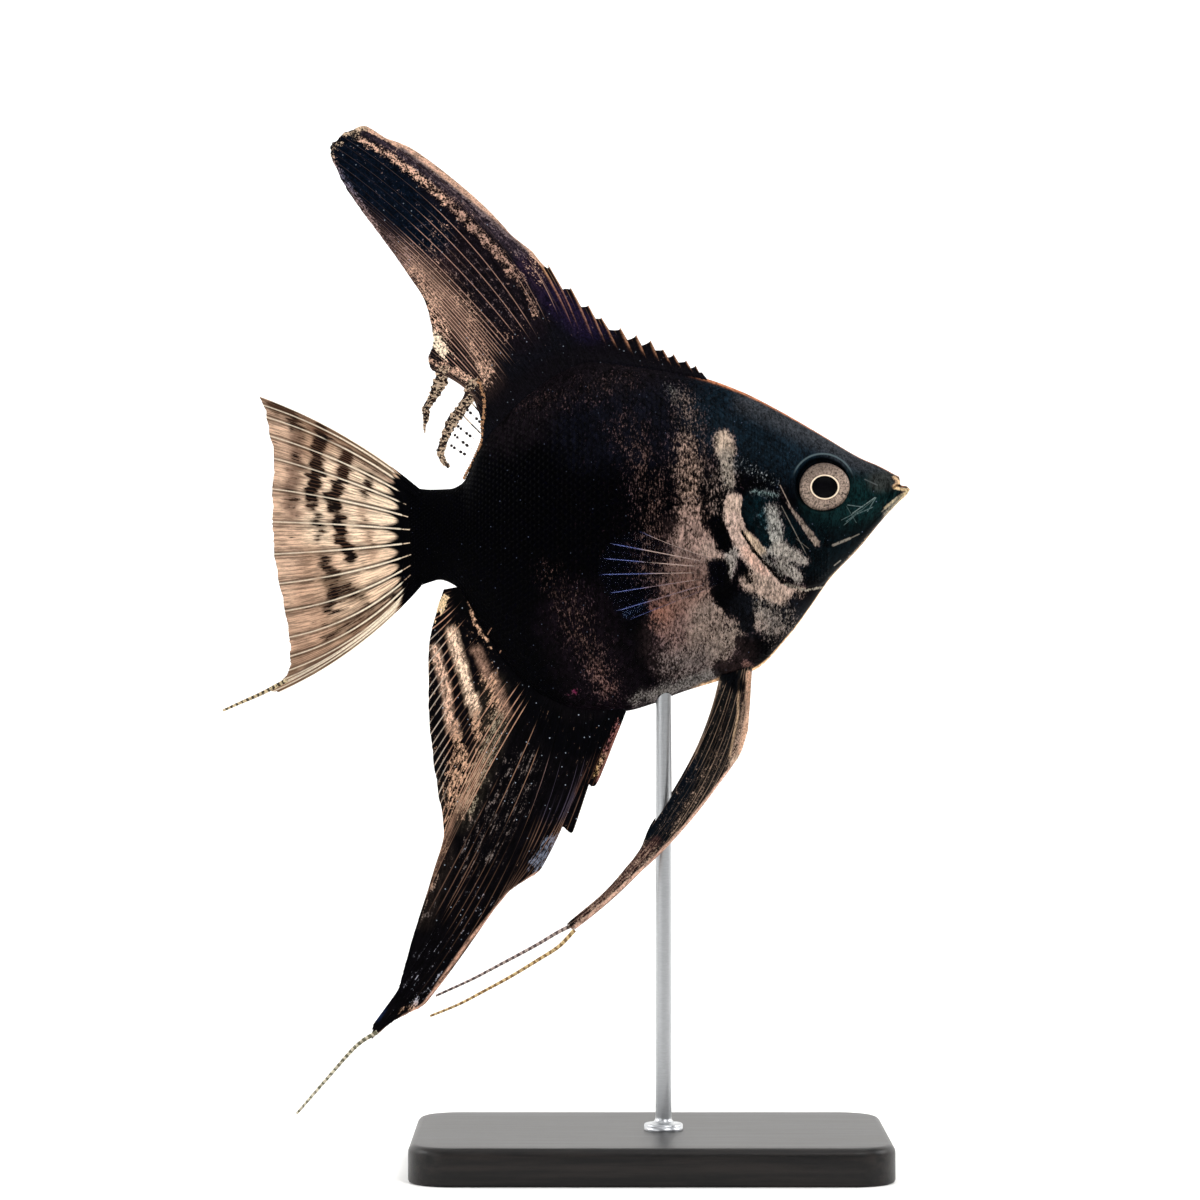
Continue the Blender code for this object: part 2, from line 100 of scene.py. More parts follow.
class Finish:
    """A material in the making. node() adds any node and gives back its first output."""

    def __init__(self, name):
        self.material = bpy.data.materials.new(name)
        self.material.use_nodes = True
        self.tree = self.material.node_tree
        self.tree.nodes.clear()

    def node(self, kind, settings=None, values=None, out=0):
        """Any node: its settings first, then the value or link of each socket."""
        made = self.tree.nodes.new(kind)
        for key, value in (settings or {}).items():
            setattr(made, key, value)
        for key, value in (values or {}).items():
            if isinstance(value, Field):
                self.tree.links.new(value.socket, made.inputs[key])
            else:
                made.inputs[key].default_value = value
        return Field(self, made.outputs[out]) if made.outputs else None

    def parts(self, vector):
        """The three parts of a vector, each as a field."""
        first = self.node("ShaderNodeSeparateXYZ", None, {0: vector})
        return [Field(self, socket) for socket in first.socket.node.outputs]

    def place(self, scale=1.0):
        """Object coordinates in millimetres, times scale: one number, or one for each axis."""
        where = self.node("ShaderNodeTexCoord", out=3)
        return self.node("ShaderNodeMapping", None,
                         {"Vector": where, "Scale": tuple(np.broadcast_to(scale, 3) / MM)})

    def noise(self, vector, detail=2.0, rough=0.5):
        """Noise of 0 to 1 with features about 1 apart in the vector's units."""
        return self.node("ShaderNodeTexNoise", None,
                         {"Vector": vector, "Scale": 1.0, "Detail": detail, "Roughness": rough})

    def scattered(self, scale):
        """Distance to the nearest of points scattered at random, about 1 apart."""
        return self.node("ShaderNodeTexVoronoi", None, {"Vector": self.place(scale), "Scale": 1.0})

    def mix(self, share, first, second, blend="MIX"):
        """Colour mix; the Mix node's colour sockets are 6 and 7 and its colour output is 2."""
        return self.node("ShaderNodeMix", {"data_type": "RGBA", "blend_type": blend},
                         {0: share, 6: first, 7: second}, out=2)

    def read(self, name, out=0):
        """A layer stored on the mesh: output 0 is a colour, output 2 a number."""
        return self.node("ShaderNodeAttribute", {"attribute_name": name}, out=out)

    def bump(self, height, depth):
        """Normal from a height field of 0 to 1 that is depth millimetres deep."""
        return self.node("ShaderNodeBump", None, {"Height": height, "Distance": depth * MM})

    def surface(self, values):
        """Principled shader with these sockets, joined to the output."""
        shader = self.node("ShaderNodeBsdfPrincipled", None, values)
        self.node("ShaderNodeOutputMaterial", None, {"Surface": shader})
        return self.material


BLACK = (0, 0, 0, 1)


def colour(red, green, blue):
    """Linear colour, with alpha, from display values of 0 to 255."""
    c = np.array([red, green, blue]) / 255
    linear = np.where(c <= 0.04045, c / 12.92, ((c + 0.055) / 1.055) ** 2.4)
    return (*linear.tolist(), 1.0)


def mesh_piece(name, points, faces, material, layers=None, uvs=None, flat=False):
    """Object from points in millimetres and arrays of faces; layers and uvs hold a row per point.

    The faces are turned outwards: their volume, summed from the middle, has to come out positive.
    """
    middle = points - points.mean(axis=0)
    volume = 0
    for f in faces:
        for k in range(1, f.shape[1] - 1):
            crossed = np.cross(middle[f[:, k]], middle[f[:, k + 1]])
            volume += np.einsum("ij,ij->i", middle[f[:, 0]], crossed).sum()
    if volume < 0:
        faces = [f[:, ::-1] for f in faces]
    mesh = bpy.data.meshes.new(name)
    corners = np.concatenate([f.ravel() for f in faces]).astype(np.int32)
    sizes = np.concatenate([np.full(len(f), f.shape[1]) for f in faces])
    mesh.vertices.add(len(points))
    mesh.vertices.foreach_set("co", (points * MM).astype(np.float32).ravel())
    mesh.loops.add(len(corners))
    mesh.loops.foreach_set("vertex_index", corners)
    mesh.polygons.add(len(sizes))
    mesh.polygons.foreach_set("loop_start", (np.cumsum(sizes) - sizes).astype(np.int32))
    mesh.update(calc_edges=True)
    mesh.polygons.foreach_set("use_smooth", np.full(len(sizes), not flat))
    for key, values in (layers or {}).items():
        if values.ndim == 1:
            layer = mesh.attributes.new(key, "FLOAT", "POINT")
            layer.data.foreach_set("value", values.astype(np.float32))
        else:
            layer = mesh.attributes.new(key, "FLOAT_COLOR", "POINT")
            whole = np.concatenate([values, np.ones((len(values), 1))], axis=1)
            layer.data.foreach_set("color", whole.astype(np.float32).ravel())
    for key, values in (uvs or {}).items():
        layer = mesh.uv_layers.new(name=key)
        layer.data.foreach_set("uv", values[corners].astype(np.float32).ravel())
    mesh.materials.append(material)
    obj = bpy.data.objects.new(name, mesh)
    bpy.context.scene.collection.objects.link(obj)
    return obj


def grid_faces(rows, columns, wrap=False, start=0):
    """Quads of a grid numbered row by row; wrap joins the last column to the first."""
    i = np.arange(rows - 1)[:, None]
    j = np.arange(columns if wrap else columns - 1)[None, :]
    k = (j + 1) % columns
    quad = np.stack(np.broadcast_arrays(i * columns + j, i * columns + k,
                                        (i + 1) * columns + k, (i + 1) * columns + j), axis=-1)
    return quad.reshape(-1, 4) + start


def fan_faces(ring, pole, turned=False):
    """Triangles from the points of a closed ring to one pole."""
    ahead = np.roll(ring, -1)
    ends = (ahead, ring) if turned else (ring, ahead)
    return np.stack([*ends, np.full(len(ring), pole)], axis=1)


def tube_faces(rows, around):
    """Faces of a closed tube: its rings of points in turn, then a pole for each end."""
    ring = np.arange(around)
    return [grid_faces(rows, around, wrap=True), fan_faces(ring, rows * around, turned=True),
            fan_faces(ring + (rows - 1) * around, rows * around + 1)]


def mount(piece, slot, *nodes):
    """Fix a finished piece to the model's root, in place of the solids' nodes; slot is not used."""
    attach(piece, "root")
    if nodes:
        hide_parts(*nodes)


def carried(profile, ring):
    """Profile rows (inset, height) carried round a ring of rows (x, y, normal x, normal y).

    A point is the ring's point less inset times its outward normal, at the profile's height.
    """
    inset = profile[:, 0][:, None]
    x = ring[:, 0] - inset * ring[:, 2]
    y = ring[:, 1] - inset * ring[:, 3]
    z = np.broadcast_to(profile[:, 1][:, None], x.shape)
    return np.stack([x, y, z], axis=-1).reshape(-1, 3)


BASE_X = 13.5
BASE_LEN = 76.0
BASE_WIDTH = 50.0
BASE_T = 6.0
BASE_CORNER = 7.0
BASE_ROUND = 1.3

quarter = np.linspace(0, np.pi / 2, 15)
corner_angle = np.concatenate([quarter + k * np.pi / 2 for k in range(4)])
corner_middle = np.repeat(np.arange(4), len(quarter)) * np.pi / 2 + np.pi / 4
corner_x = np.sign(np.cos(corner_middle))
corner_y = np.sign(np.sin(corner_middle))
base_ring = np.stack([
    BASE_X + corner_x * (BASE_LEN / 2 - BASE_CORNER) + BASE_CORNER * np.cos(corner_angle),
    corner_y * (BASE_WIDTH / 2 - BASE_CORNER) + BASE_CORNER * np.sin(corner_angle),
    np.cos(corner_angle), np.sin(corner_angle)], axis=1)
bend = np.linspace(0, np.pi / 2, 8)
base_profile = np.concatenate([
    [(6.5, 0), (0.5, 0), (0.15, 0.15), (0, 0.5)],
    np.stack([BASE_ROUND * (1 - np.cos(bend)), BASE_T - BASE_ROUND * (1 - np.sin(bend))], axis=1),
    [(4, BASE_T), (6.5, BASE_T)]])
base_points = np.concatenate([carried(base_profile, base_ring),
                              [(BASE_X, 0, 0), (BASE_X, 0, BASE_T)]])
base_faces = tube_faces(len(base_profile), len(base_ring))

lacquer = Finish("black_lacquered_wood")
grain = lacquer.noise(lacquer.place((0.05, 0.9, 0.9)), 5.0, 0.6)
pores = lacquer.noise(lacquer.place((0.35, 4.0, 4.0)))
lacquer_material = lacquer.surface({
    "Base Color": lacquer.mix(grain.step(0.35, 0.7), colour(14, 13, 13), colour(32, 28, 26)),
    "Roughness": 0.34 + grain * 0.12,
    "Specular IOR Level": 0.22,
    "Normal": lacquer.bump(grain * 0.6 + pores * 0.4, 0.05),
})
stand_base = mesh_piece("stand_base_lacquered", base_points, base_faces, lacquer_material)
edge_split = stand_base.modifiers.new("crisp", "EDGE_SPLIT")
edge_split.split_angle = np.radians(40)
mount(stand_base, "stand_base", "stand_base")

# ------------------------------------------------------------------ stand: rod
# A round bar of brushed stainless steel, 2.6 mm thick, that stands in the base in a turned collar
# and goes up into the belly.
ROD_X = 15.6
ROD_R = 1.3
ROD_TOP = 80.0
COLLAR_R = 3.1
COLLAR_SUNK = 0.6         # how far its wall goes down into the base
COLLAR_WALL = 0.7         # how far its wall stands over the base
COLLAR_ROUND = 0.35       # radius of its upper edge
COLLAR_FILLET = 0.9       # radius of the hollow in which it meets the rod


def turned(profile, centre_x, count=48):
    """Turned shape about an upright axis: rows (radius, height) swept through count angles."""
    angle = np.arange(count) * 2 * np.pi / count
    x = centre_x + profile[:, 0][:, None] * np.cos(angle)
    y = profile[:, 0][:, None] * np.sin(angle)
    z = np.broadcast_to(profile[:, 1][:, None], x.shape)
    ends = [(centre_x, 0, profile[0, 1]), (centre_x, 0, profile[-1, 1])]
    points = np.concatenate([np.stack([x, y, z], axis=-1).reshape(-1, 3), ends])
    return points, tube_faces(len(profile), count)


wall_top = BASE_T + COLLAR_WALL
collar_top = wall_top + COLLAR_ROUND
edge_turn = np.linspace(0, np.pi / 2, 6)
fillet_turn = np.linspace(0, np.pi / 2, 7)
rod_profile = np.concatenate([
    [(COLLAR_R, BASE_T - COLLAR_SUNK), (COLLAR_R, wall_top)],
    np.stack([COLLAR_R - COLLAR_ROUND * (1 - np.cos(edge_turn)),
              wall_top + COLLAR_ROUND * np.sin(edge_turn)], axis=1),
    np.stack([ROD_R + COLLAR_FILLET * (1 - np.sin(fillet_turn)),
              collar_top + COLLAR_FILLET * (1 - np.cos(fillet_turn))], axis=1),
    np.stack([np.full(24, ROD_R), np.linspace(collar_top + 1.15, ROD_TOP, 24)], axis=1)])
rod_points, rod_faces = turned(rod_profile, ROD_X)

steel = Finish("brushed_steel")
brush = steel.noise(steel.place((1.2, 1.2, 14.0)), 3.0, 0.7)
steel_material = steel.surface({
    "Base Color": steel.mix(brush, colour(150, 152, 155), colour(196, 198, 200)),
    "Metallic": 1.0,
    "Roughness": 0.26 + brush * 0.16,
    "Normal": steel.bump(brush, 0.012),
})
rod = mesh_piece("stand_rod_brushed", rod_points, rod_faces, steel_material)
mount(rod, "stand_rod", "stand_rod")

# ------------------------------------------------------------------ skin of head and body
# One skin over head, jaws, gill covers, trunk and tail root, thin and wet-looking over the bones:
# the eye socket, cheek and gill cover edges, mouth and nostril are modelled in it.
COAT = 0.12               # depth of the scales, so the skin lies this far inside the solids
NOSE_X = 55.0
TAIL_X = -26.2            # the skin runs out thin here, between the roots of the tail fin's rays
EYE = (41.1, 108.62)      # centre of the eye, x and z
EYE_R = 4.15
RELIEF_FADE = 0.12        # how near the section's top and bottom the relief runs out
VIEW_X = 5.44             # the side view that marks and folds are placed on: its middle,
VIEW_Z = 90.7
VIEW_BACK = 700.0         # and the distance that it is seen from

BACK = [(-25, 108.9), (-21.8, 108.5), (-18.6, 108.6), (-16.6, 109.5), (-14.1, 114.6),
        (-11.8, 118.2), (-9, 121.4), (-6.1, 124), (-0.8, 127.7), (3.8, 129.2),
        (10.2, 128.5), (21.1, 126.6), (27.8, 124.3), (34.2, 121.1), (40.6, 117.4),
        (47, 113.6), (50.2, 112.2), (52.6, 110.9), (53.3, 110.5), (53.5, 109.2),
        (54.5, 108.95), (55, 108.5)]
BELLY = [(-25, 92.2), (-21.8, 93.4), (-20.2, 93.8), (-17.8, 92.9), (-13.8, 86.7),
         (-9, 79.5), (-3.4, 74.7), (3, 72.6), (9.4, 72.8), (13.4, 73.8), (18.2, 75.7),
         (24.3, 77.6), (30.2, 79.4), (35.8, 85), (39, 89.3), (42.2, 93.9),
         (47, 99), (50.7, 103.5), (53.4, 106.4), (54.6, 107.6), (55, 108.3)]
HALF_WIDTH = [(-26.2, 0.5), (-25, 1.1), (-20, 2.3), (-16, 3.2), (-12, 4.1), (-6, 5.3),
              (0, 6.1), (6, 6.7), (14, 7.1), (22, 7.3), (30, 7.1), (36, 6.6),
              (41, 5.8), (46, 4.7), (50, 3.5), (52.5, 2.5), (53.4, 2.1), (54.4, 1.5),
              (55, 0.8)]
EDGE_SHARP = [(-25, 1.15), (-10, 1.3), (25, 1.3), (38, 1.15), (48, 1), (55, 1)]
GILL_SLIT = [(29.8, 110.4), (28, 107.6), (27.4, 104.8), (28.2, 101.8), (29.8, 99.2),
             (31.8, 96.8), (34.7, 93.7), (37.6, 92.5), (41, 93.1), (43.2, 94.6)]
CHEEK_BAND = [(34.1, 108.3), (36.9, 104), (40.2, 99.4)]
CHEEK_LINE = [(33.7, 106.6), (35.7, 102.9), (38.4, 98.2)]
MOUTH = [(53.9, 108.95), (52.9, 109.05), (52.2, 108.5), (51.5, 106.5)]
NOSTRIL = (47.3, 110.9)
SNOUT_FOLD = [(45.2, 104.6), (49.3, 107)]
# Low ridges of jaw, cheek and shoulder: (path, height, half width, width of its soft edge)
RIDGES = [([(54.6, 108.2), (52.8, 106.7), (50.9, 105.2)], 0.16, 0.1, 0.25),
          ([(53.2, 106.6), (50.5, 103.9), (47, 100.3)], 0.12, 0.2, 0.35),
          ([(42.4, 99.4), (46.6, 100.9)], 0.12, 0.12, 0.3),
          (SNOUT_FOLD, 0.08, 0.1, 0.3),
          ([(25.1, 97.6), (24.7, 92.8)], 0.35, 0.3, 1.1)]


def smooth(table, x):
    """Cubic through the pairs of a table, with slopes that never overshoot its values."""
    px, py = np.array(table, dtype=float).T
    step = np.diff(px)
    rise = np.diff(py) / step
    slope = np.zeros(len(px))
    slope[0] = rise[0]
    slope[-1] = rise[-1]
    same = rise[:-1] * rise[1:] > 0
    total = np.where(same, rise[:-1] + rise[1:], 1)
    slope[1:-1] = np.where(same, 2 * rise[:-1] * rise[1:] / total, 0)
    i = np.clip(np.searchsorted(px, x) - 1, 0, len(px) - 2)
    t = np.clip((x - px[i]) / step[i], 0, 1)
    return ((1 + 2 * t) * (1 - t) ** 2 * py[i] + t * (1 - t) ** 2 * step[i] * slope[i]
            + t * t * (3 - 2 * t) * py[i + 1] + t * t * (t - 1) * step[i] * slope[i + 1])


def soft(distance, radius, edge):
    """1 nearer than radius, 0 further than radius + edge, and a smooth step between."""
    t = np.clip((radius + edge - distance) / edge, 0, 1)
    return t * t * (3 - 2 * t)


def from_path(x, z, path):
    """Distance to a path of straight runs, the side of it (+ is left), and the share run."""
    best = np.full(np.shape(x), 1e9)
    side = np.zeros(np.shape(x))
    share = np.zeros(np.shape(x))
    p = np.array(path, dtype=float)
    runs = np.linalg.norm(np.diff(p, axis=0), axis=1)
    for k in range(len(p) - 1):
        d = (p[k + 1] - p[k]) / runs[k]
        along = (x - p[k, 0]) * d[0] + (z - p[k, 1]) * d[1]
        across = (z - p[k, 1]) * d[0] - (x - p[k, 0]) * d[1]
        held = np.clip(along, 0, runs[k])
        distance = np.hypot(along - held, across)
        nearer = distance < best
        best = np.where(nearer, distance, best)
        side = np.where(nearer, np.sign(across), side)
        share = np.where(nearer, (runs[:k].sum() + held) / runs.sum(), share)
    return best, side, share


def mark(x, z, path, r0, r1, edge):
    """1 on a mark along a path and 0 off it; its half width runs from r0 to r1."""
    d, side, share = from_path(x, z, path)
    return soft(d, r0 + (r1 - r0) * share, edge)


def as_seen(x, z, y):
    """Where a point appears on the side view: moved away from its middle by a share y / its distance.

    y is how far the point stands out from the plane of symmetry.
    """
    return x + (x - VIEW_X) * y / VIEW_BACK, z + (z - VIEW_Z) * y / VIEW_BACK


def relief(x, z):
    """How far the skin stands out sideways from the smooth body, in mm, from its landmarks.

    A ridge or groove is a height times soft() of the distance to its path; the gill cover is a
    low dome that ends in a step at its edge.
    """
    out = np.zeros(np.shape(x))
    eye = np.hypot(x - EYE[0], z - EYE[1])
    rim = np.hypot(x - EYE[0] + 0.3, z - EYE[1] - 0.45)
    out += 0.16 * np.exp(-((rim - 4.9) / 0.45) ** 2)      # lid
    out -= 0.9 * soft(rim, 3.95, 0.6)                     # socket, in two steps
    out -= 1.5 * soft(eye, 3.2, 0.8)

    # gill cover: a dome up to its edge, then a trough, and the membrane's fold along it
    x, z = as_seen(x, z, 0.9 * smooth(HALF_WIDTH, x))
    d, side, share = from_path(x, z, GILL_SLIT)
    inside = side * d          # positive on the gill cover
    reach = np.clip(np.minimum((share - 0.2) / 0.12, (1 - share) / 0.2), 0, 1)
    dome = np.exp(-np.clip(inside, 0, None) / 2.4) * 0.38
    trough = -np.exp(-np.clip(-inside, 0, None) / 0.75) * 0.5
    edge = np.clip(inside / 0.16, 0, 1)
    out += reach * np.where(d < 9, trough * (1 - edge) + dome * edge, 0)
    membrane = np.exp(-((inside - 0.75) / 0.16) ** 2) * soft(share, 0.9, 0.1)
    out -= 0.1 * reach * membrane

    # cheek: a raised band, and a sunk wedge below it
    band, side, share = from_path(x, z, CHEEK_BAND)
    out += 0.2 * soft(band, 0.1 + 0.6 * share, 0.35)
    wedge, side, run = from_path(x, z, CHEEK_LINE)
    between = soft(wedge, 0.5 + 0.25 * run, 0.35) * (1 - soft(band, 0.15 + 0.6 * run, 0.25))
    out -= 0.3 * between * (side < 0)
    out += 0.1 * soft(wedge, 0.05, 0.22)

    # lips, low ridges and nostril
    lips, side, share = from_path(x, z, MOUTH)
    out -= (0.75 - 0.5 * share) * soft(lips, 0.05, 0.2)
    out += 0.16 * np.exp(-((lips - 0.5) / 0.28) ** 2) * (x > 51.8)
    for path, height, radius, edge in RIDGES:
        out += height * mark(x, z, path, radius, radius, edge)
    out -= 0.07 * soft(np.abs(from_path(x, z, SNOUT_FOLD)[0] - 0.55), 0.1, 0.25)
    nostril = np.hypot(x - NOSTRIL[0], z - NOSTRIL[1])
    out += 0.14 * np.exp(-((nostril - 0.62) / 0.2) ** 2) - 0.5 * soft(nostril, 0.12, 0.3)
    return out


def section(x):
    """Middle height, half height, half width and edge exponent of the skin's section at x."""
    top = smooth(BACK, x)
    low = smooth(BELLY, x)
    inset = COAT * np.clip((NOSE_X - x) / 2, 0.3, 1)
    return ((top + low) / 2, (top - low) / 2 - inset,
            smooth(HALF_WIDTH, x) - inset, smooth(EDGE_SHARP, x))


def side_y(x, z):
    """Distance of the skin from the plane of symmetry at x and z, with its relief."""
    mid, high, wide, sharp = section(x)
    c = np.clip((z - mid) / high, -0.9999, 0.9999)
    rise = np.clip((1 - c * c) / RELIEF_FADE, 0, 1)
    return wide * (1 - c * c) ** (sharp / 2) + relief(x, z) * rise


def mix_in(base, share, tone):
    """Colours moved a share of the way to one tone, which is given in display values."""
    return base + share[..., None] * (np.array(colour(*tone)[:3]) - base)


def paint(x, z, tone, marks):
    """Colour of each point: one tone, then each mark laid over it along its path."""
    out = np.tile(colour(*tone)[:3], (*np.shape(x), 1))
    for path, r0, r1, edge, amount, shade in marks:
        out = mix_in(out, amount * mark(x, z, path, r0, r1, edge), shade)
    return out


# Marks are (path, half width at its start and at its end, width of its soft edge, amount, colour).
# GROUND tints the dark skin; FLECK colours its flecks, and its amount is how dense they are.
GROUND = [
    ([(-10, 119), (2, 125), (14, 125)], 2, 2, 5, 1, (16, 12, 16)),
    ([(4, 118), (22, 120)], 3, 4, 6, 1, (8, 9, 17)),
    ([(26, 121), (34, 117.5), (44, 112)], 3, 3, 6, 1, (12, 25, 34)),
    # painted sheen: a grey band along the forehead's outline
    ([(29, 122.6), (40, 116.9), (50, 111.4)], 0.3, 0.2, 3, 0.8, (54, 56, 60)),
    ([(43, 106), (50, 107.5)], 3.2, 1.6, 3.5, 1, (8, 30, 31)),
    ([(50, 109.6), (53, 109.9)], 0.8, 0.6, 1.6, 0.8, (46, 48, 46)),
    ([(36, 100), (44, 98)], 2.5, 2.5, 4, 0.9, (4, 13, 17)),
    ([(31, 105.5), (33.5, 101)], 1.6, 1.6, 2.2, 0.9, (6, 23, 28)),
    ([(2, 87), (7, 76)], 4, 4, 5, 0.9, (13, 8, 13)),
    ([(18, 84), (24, 82)], 2.8, 3.2, 5, 1, (38, 29, 29)),
    ([(19, 101), (18.5, 90)], 2, 3, 3, 0.8, (34, 25, 24)),
    ([(30, 88.5), (36, 89)], 2.5, 1.5, 2.5, 0.9, (13, 15, 20)),
    ([(12, 74.6), (24, 78.2)], 0.9, 0.7, 1.2, 0.9, (44, 40, 40)),
]
FLECK = [
    ([(16.6, 124.6), (19, 122.6)], 0.3, 0.5, 1.4, 0.34, (112, 112, 110)),
    ([(-7, 122), (10, 126)], 0.6, 0.6, 2.5, 0.16, (80, 62, 60)),
    ([(10, 118), (14, 108), (13.5, 96)], 0.8, 1.6, 3.2, 0.25, (100, 78, 72)),
    ([(19.4, 122.5), (20, 112)], 0.5, 1.4, 2.6, 0.3, (124, 106, 98)),
    ([(19.6, 115), (20.2, 104)], 0.8, 1.2, 2, 0.42, (152, 126, 112)),
    ([(23.6, 110), (24.4, 104)], 0.6, 0.8, 1.6, 0.3, (136, 118, 110)),
    ([(25.2, 116.8), (25.5, 115)], 0.9, 1.1, 0.9, 0.92, (176, 156, 138)),
    ([(25.7, 113.6), (26.2, 109.2)], 0.8, 0.6, 1, 0.6, (150, 138, 126)),
    ([(20.8, 104.4), (20.4, 100)], 1.2, 2, 1.6, 0.62, (160, 132, 120)),
    ([(20.6, 100), (20, 93)], 2.6, 3.2, 1.7, 0.74, (150, 124, 114)),
    ([(23, 98.6), (24.4, 97.2)], 0.9, 0.5, 1, 0.82, (170, 146, 134)),
    ([(18.9, 92.5), (18.6, 88.2)], 2, 2.4, 2.9, 0.72, (140, 108, 96)),
    ([(15.6, 88.4), (17.8, 87.2)], 0.5, 0.6, 2.4, 0.7, (150, 98, 76)),
    ([(19, 86), (19.8, 82)], 1.8, 2.2, 3.6, 0.6, (118, 94, 88)),
    ([(23.4, 87.6), (22.6, 81.2)], 2.4, 2.2, 1.8, 0.74, (136, 118, 108)),
    ([(27, 85.6), (24.6, 82.6)], 1.2, 1.4, 1.2, 0.7, (136, 120, 110)),
    ([(16.6, 80), (21, 80)], 0.8, 1.4, 2.8, 0.46, (112, 100, 96)),
    ([(11.5, 74.9), (24, 78.6)], 0.6, 0.5, 0.9, 0.6, (120, 114, 110)),
    ([(31.4, 87.6), (33.8, 86.2)], 1.4, 0.9, 1.2, 0.7, (150, 134, 124)),
    ([(30.2, 90.4), (35.4, 88.4)], 0.8, 0.8, 1.6, 0.34, (138, 128, 120)),
    ([(0.4, 91), (3.2, 84), (6.4, 78)], 0.4, 1, 2.8, 0.25, (96, 74, 72)),
    ([(5, 79.4), (6.8, 76.4)], 0.5, 0.7, 1.8, 0.4, (112, 84, 78)),
    ([(-3, 95), (3, 84)], 0.6, 1, 3, 0.14, (92, 70, 64)),
    ([(0.9, 75.9), (1.6, 75.6)], 0.15, 0.15, 0.5, 0.62, (100, 22, 58)),
    ([(28.9, 80.4), (29.6, 80)], 0.4, 0.3, 0.5, 0.7, (118, 88, 80)),
    ([(33, 88.8), (36.6, 86)], 0.3, 0.2, 1.2, 0.36, (130, 120, 112)),
    ([(34, 90), (32.6, 83.6)], 0.3, 0.3, 1.4, 0.3, (122, 112, 106)),
    # shoulder and the stripe behind the gill opening
    ([(26.9, 106.3), (27, 103.6)], 1.25, 1.15, 0.55, 1, (186, 162, 146)),
    ([(26.9, 103.4), (28, 99.9), (29.9, 97.1), (32.6, 94.2), (35, 92.3), (37.6, 91.8)],
     1.15, 0.75, 0.5, 1, (192, 166, 152)),
    ([(28.9, 98.6), (31.6, 95)], 0.4, 0.4, 0.6, 1, (216, 178, 160)),
    ([(29.6, 93.8), (34.4, 91.4)], 1.4, 1, 0.8, 0.78, (170, 148, 134)),
    ([(26.6, 98.2), (26, 95.4), (25, 92.8)], 0.8, 0.6, 0.6, 0.72, (152, 143, 136)),
    # gill cover and cheek
    ([(28.9, 101.3), (30.1, 100), (31.3, 98.4)], 0.35, 0.7, 0.35, 1, (188, 165, 142)),
    ([(32.9, 105), (33.5, 102.4), (33.6, 99)], 0.7, 1, 0.9, 0.74, (160, 157, 150)),
    ([(34.2, 98.9), (36, 98.2), (38.1, 97)], 0.9, 0.45, 0.8, 0.8, (160, 152, 143)),
    ([(34.8, 96.6), (37.2, 94.3)], 0.8, 0.6, 0.8, 0.7, (150, 142, 134)),
    ([(31.6, 97.6), (34.4, 94.8)], 0.2, 0.2, 0.6, 0.45, (130, 124, 118)),
    ([(30, 108.1), (33.6, 107.5)], 0.1, 0.1, 0.8, 0.55, (108, 128, 126)),
    ([(31.2, 104.8), (31.6, 102.6)], 0.3, 0.3, 0.8, 0.3, (50, 84, 92)),
    ([(35.2, 106.4), (37.6, 103.2), (40.1, 99.8)], 0.02, 0.5, 0.25, 0.74, (128, 114, 103)),
    ([(28.6, 112.2), (33.4, 109.6)], 0.3, 0.2, 1.4, 0.12, (170, 178, 180)),
    # lips and jaw
    ([(52.5, 110.3), (53.4, 109.6), (52.6, 108.9)], 0.16, 0.22, 0.28, 1, (196, 164, 128)),
    ([(52.6, 108.6), (54.9, 108.3)], 0.1, 0.14, 0.22, 1, (206, 178, 136)),
    ([(54.6, 108), (52.9, 106.9), (51, 105.4)], 0.12, 0.1, 0.2, 1, (196, 176, 138)),
    ([(53.6, 106.9), (51.2, 104.4)], 0.3, 0.3, 0.5, 0.7, (120, 116, 104)),
    # the lower jaw's pale cream edge, painted brighter than its own colour to make up for the shade on
    # that downward-facing edge
    ([(54.4, 107.3), (47, 98.9), (42.4, 94)], 0.1, 0.1, 0.4, 1, (214, 184, 142)),
]
# Where the flecks thin out; these marks have no colour
DARK = [
    ([(24.4, 95.6), (25, 91.8), (27, 89.8)], 1.3, 1.2, 1, 0.97),
    ([(24, 103), (25.4, 99.4)], 0.9, 0.7, 0.9, 0.9),
    ([(28.9, 107.2), (28.5, 104.6), (29.3, 102.4)], 0.5, 0.3, 0.3, 0.95),
    ([(35, 105.2), (39.2, 98.8)], 0.2, 0.5, 0.4, 0.95),
    ([(28.6, 95.6), (29.4, 94)], 0.4, 0.4, 0.6, 0.8),
    ([(28.6, 90.4), (29.2, 86.6)], 1, 0.9, 0.7, 0.92),
    ([(25, 79.6), (27, 78.6)], 1, 1, 0.8, 0.97),
    ([(28, 84), (31.6, 82.6)], 0.6, 0.9, 0.9, 0.85),
    ([(37.5, 91), (39.6, 90)], 1, 1.6, 0.8, 0.9),
    ([(22.2, 108.4), (22.4, 103)], 0.3, 0.5, 0.9, 0.6),
    ([(31.4, 101.4), (32.2, 99.9)], 0.6, 0.5, 0.5, 0.9),
    ([(10.2, 87.6), (11, 77)], 0.5, 0.5, 3.6, 0.6),
]
GILL_SEAM = [(35.2, 93.3), (38.2, 92.2), (41.4, 92.8), (43.4, 94.3)]
RIM_WARM = (196, 122, 82)
# the belly's pale rim: partly its own colour, partly painted light making up for the shade on that
# downward-facing edge
RIM_PALE_AND_LIGHT = (255, 206, 158)


